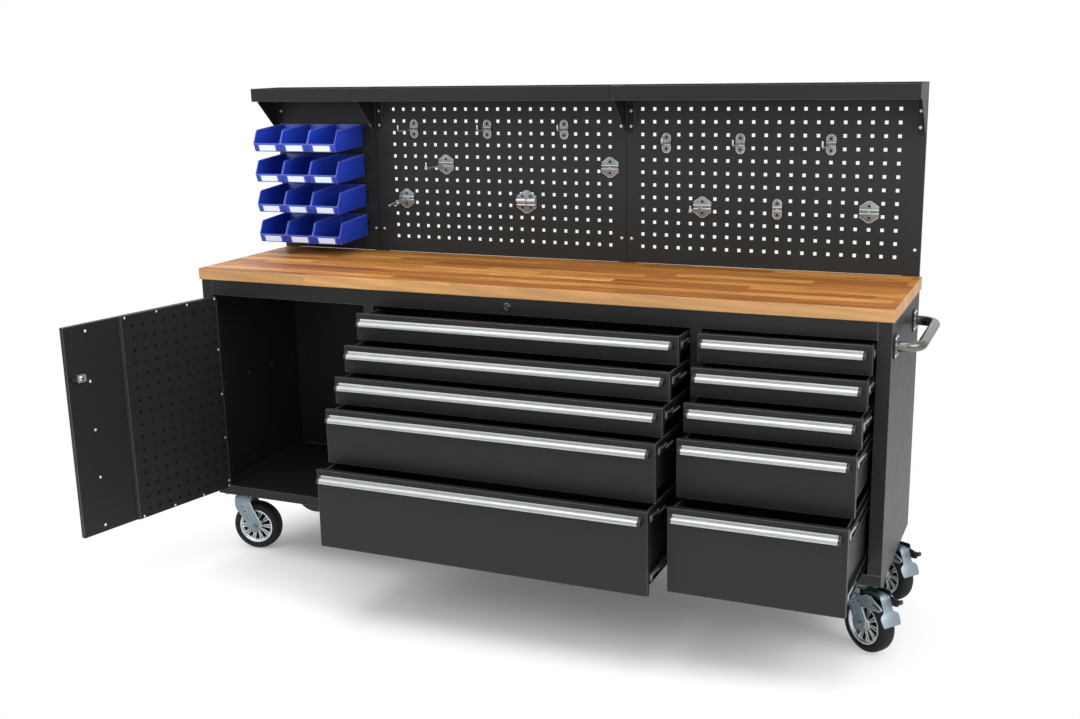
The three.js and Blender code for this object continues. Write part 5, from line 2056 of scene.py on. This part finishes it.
        self.fit("brake_pedal_pressing", form, self.finishes.zinc, "pedal", pin, ["brake_pedal"])
        tab = Form().block((37.0, 16.0, -7.0), (62.0, 27.0, -1.0)).eased(1.8, 3)
        tab.add(Form().block((58.0, 14.5, -9.0), (67.0, 28.5, 2.5)).eased(2.4, 3))
        tab.add(Form().block((-4.0, 22.0, -5.0), (40.0, 24.8, 1.0)).eased(0.9, 2))
        self.fit("brake_release_tab", tab, self.finishes.black_plastic, "pedal", pin)


# -------------------------------------------------------------------------------------------- studio
@dataclass(frozen=True)
class Lamp:
    """A square soft lamp: where it hangs, what it aims at, its size in metres and its power in watts."""

    name: str
    place: Triple
    aim: Triple
    size: float
    power: float


@dataclass
class Studio:
    """The camera, the pale floor and the soft light."""

    bench: Bench
    eye: Triple = (2598.6, -3711.8, 1595.4)
    azimuth: float = 23.89
    elevation: float = 13.6
    roll: float = -1.18
    lens: float = 42.44
    floor_size: float = 60.0
    floor_drop: float = 0.0005
    glow: float = 0.06
    shadow_reach: float = 0.6
    fade: float = 0.36
    dim: Colour = (0.2, 0.205, 0.215)
    ambient: Colour = (0.6, 0.61, 0.63)
    lights: tuple[Lamp, ...] = (
        Lamp("lamp_above", (1000, -900, 3600), (1000, -300, 700), 3.4, 95.0),
        Lamp("lamp_front_left", (-1500, -3200, 2600), (900, -300, 700), 2.2, 44.0),
        Lamp("lamp_fill", (2500, -4200, 2300), (1000, -200, 600), 2.6, 42.0),
        Lamp("lamp_right", (4300, -1500, 2200), (1900, -300, 600), 2.2, 55.0),
    )

    def build(self) -> None:
        """Sets the stage."""
        self.camera()
        self.floor()
        self.world()
        self.lamps()
        bpy.context.scene.view_settings.view_transform = "Standard"

    def camera(self) -> None:
        """A camera at a standing person's height, a little to the right."""
        data = bpy.data.cameras.new("camera")
        data.lens = self.lens
        data.sensor_width = 36
        data.clip_end = 200
        camera = bpy.data.objects.new("camera", data)
        bpy.context.scene.collection.objects.link(camera)
        facing = turn(self.azimuth, "Z") @ turn(90 - self.elevation, "X") @ turn(self.roll, "Z")
        facing.translation = self.bench.point(*self.eye)
        camera.matrix_world = facing
        bpy.context.scene.camera = camera

    def floor(self) -> None:
        """A white floor that keeps the bench's shadow and fades into the background."""
        graph = Graph.material("studio_floor")
        narrowed = graph.stretched(graph.point(), (0.72, 1.0, 1.0))
        reach = graph.node("ShaderNodeVectorMath", {"operation": "LENGTH"}, {0: narrowed}).outputs[1]
        far = ((Value(graph, reach) - self.shadow_reach) / self.fade).clamped()
        seen = Value(graph, graph.node("ShaderNodeLightPath").outputs["Is Camera Ray"])
        share = seen * (self.glow + (1.0 - self.glow) * far * far * (3.0 - 2.0 * far))
        diffuse = graph.node("ShaderNodeBsdfDiffuse", None, {"Color": (0.93, 0.93, 0.94)}).outputs[0]
        glow = graph.node("ShaderNodeEmission", None, {"Color": (1, 1, 1), "Strength": 1.0}).outputs[0]
        mix = graph.node("ShaderNodeMixShader", None, {0: share, 1: diffuse, 2: glow}).outputs[0]
        graph.feed(graph.output.inputs[0], mix)
        mesh = bpy.data.meshes.new("floor")
        half, z = self.floor_size / 2, -self.floor_drop
        corners = [(-half, -half, z), (half, -half, z), (half, half, z), (-half, half, z)]
        mesh.from_pydata(corners, [], [(0, 1, 2, 3)])
        mesh.materials.append(graph.owner)
        floor = bpy.data.objects.new("floor", mesh)
        bpy.context.scene.collection.objects.link(floor)

    def world(self) -> None:
        """A white room, whose side in front of the bench is dim to what shines."""
        graph = Graph.world("studio")
        path = graph.node("ShaderNodeLightPath")
        rays = ("Is Camera Ray", "Is Glossy Ray", "Is Transmission Ray")
        camera, glossy, through = (Value(graph, path.outputs[name]) for name in rays)
        heading = graph.node("ShaderNodeTexCoord").outputs["Generated"]
        way = graph.node("ShaderNodeSeparateXYZ", None, {0: heading})
        right, back, up = (Value(graph, socket) for socket in way.outputs)
        open_side = ((back + 0.55 * up + 0.25 * right + 0.42) / 0.75).clamped()
        shine = graph.blend(open_side, self.dim, (1, 1, 1))
        lit = graph.blend(glossy, self.ambient, shine)
        colour = graph.blend(camera.maximum(through), lit, (1, 1, 1))
        background = graph.node("ShaderNodeBackground", None, {"Color": colour}).outputs[0]
        graph.feed(graph.output.inputs[0], background)
        bpy.context.scene.world = graph.owner

    def lamps(self) -> None:
        """Large soft lamps above, to the left in front, and to the right."""
        for light in self.lights:
            data = bpy.data.lights.new(light.name, "AREA")
            data.size = light.size
            data.energy = light.power
            lamp = bpy.data.objects.new(light.name, data)
            bpy.context.scene.collection.objects.link(lamp)
            start, end = self.bench.point(*light.place), self.bench.point(*light.aim)
            lamp.location = start
            lamp.rotation_euler = (end - start).to_track_quat("-Z", "Y").to_euler()


def main() -> None:
    """Builds the whole scene in order."""
    logging.basicConfig(level=logging.INFO, format="%(name)s: %(message)s")
    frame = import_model()
    bench = Bench(frame)
    finishes = Finishes()
    Studio(bench).build()
    Carcass(bench, finishes).build()
    Slides(bench, finishes).build()
    Handles(bench, finishes).build()
    PushHandle(bench, finishes).build()
    Door(bench, finishes).build()
    ToolHooks(bench, finishes).build()
    Bins(bench, finishes).build()
    for name in CASTORS:
        Castor(bench, finishes, name).build()


if __name__ == "__main__":
    main()
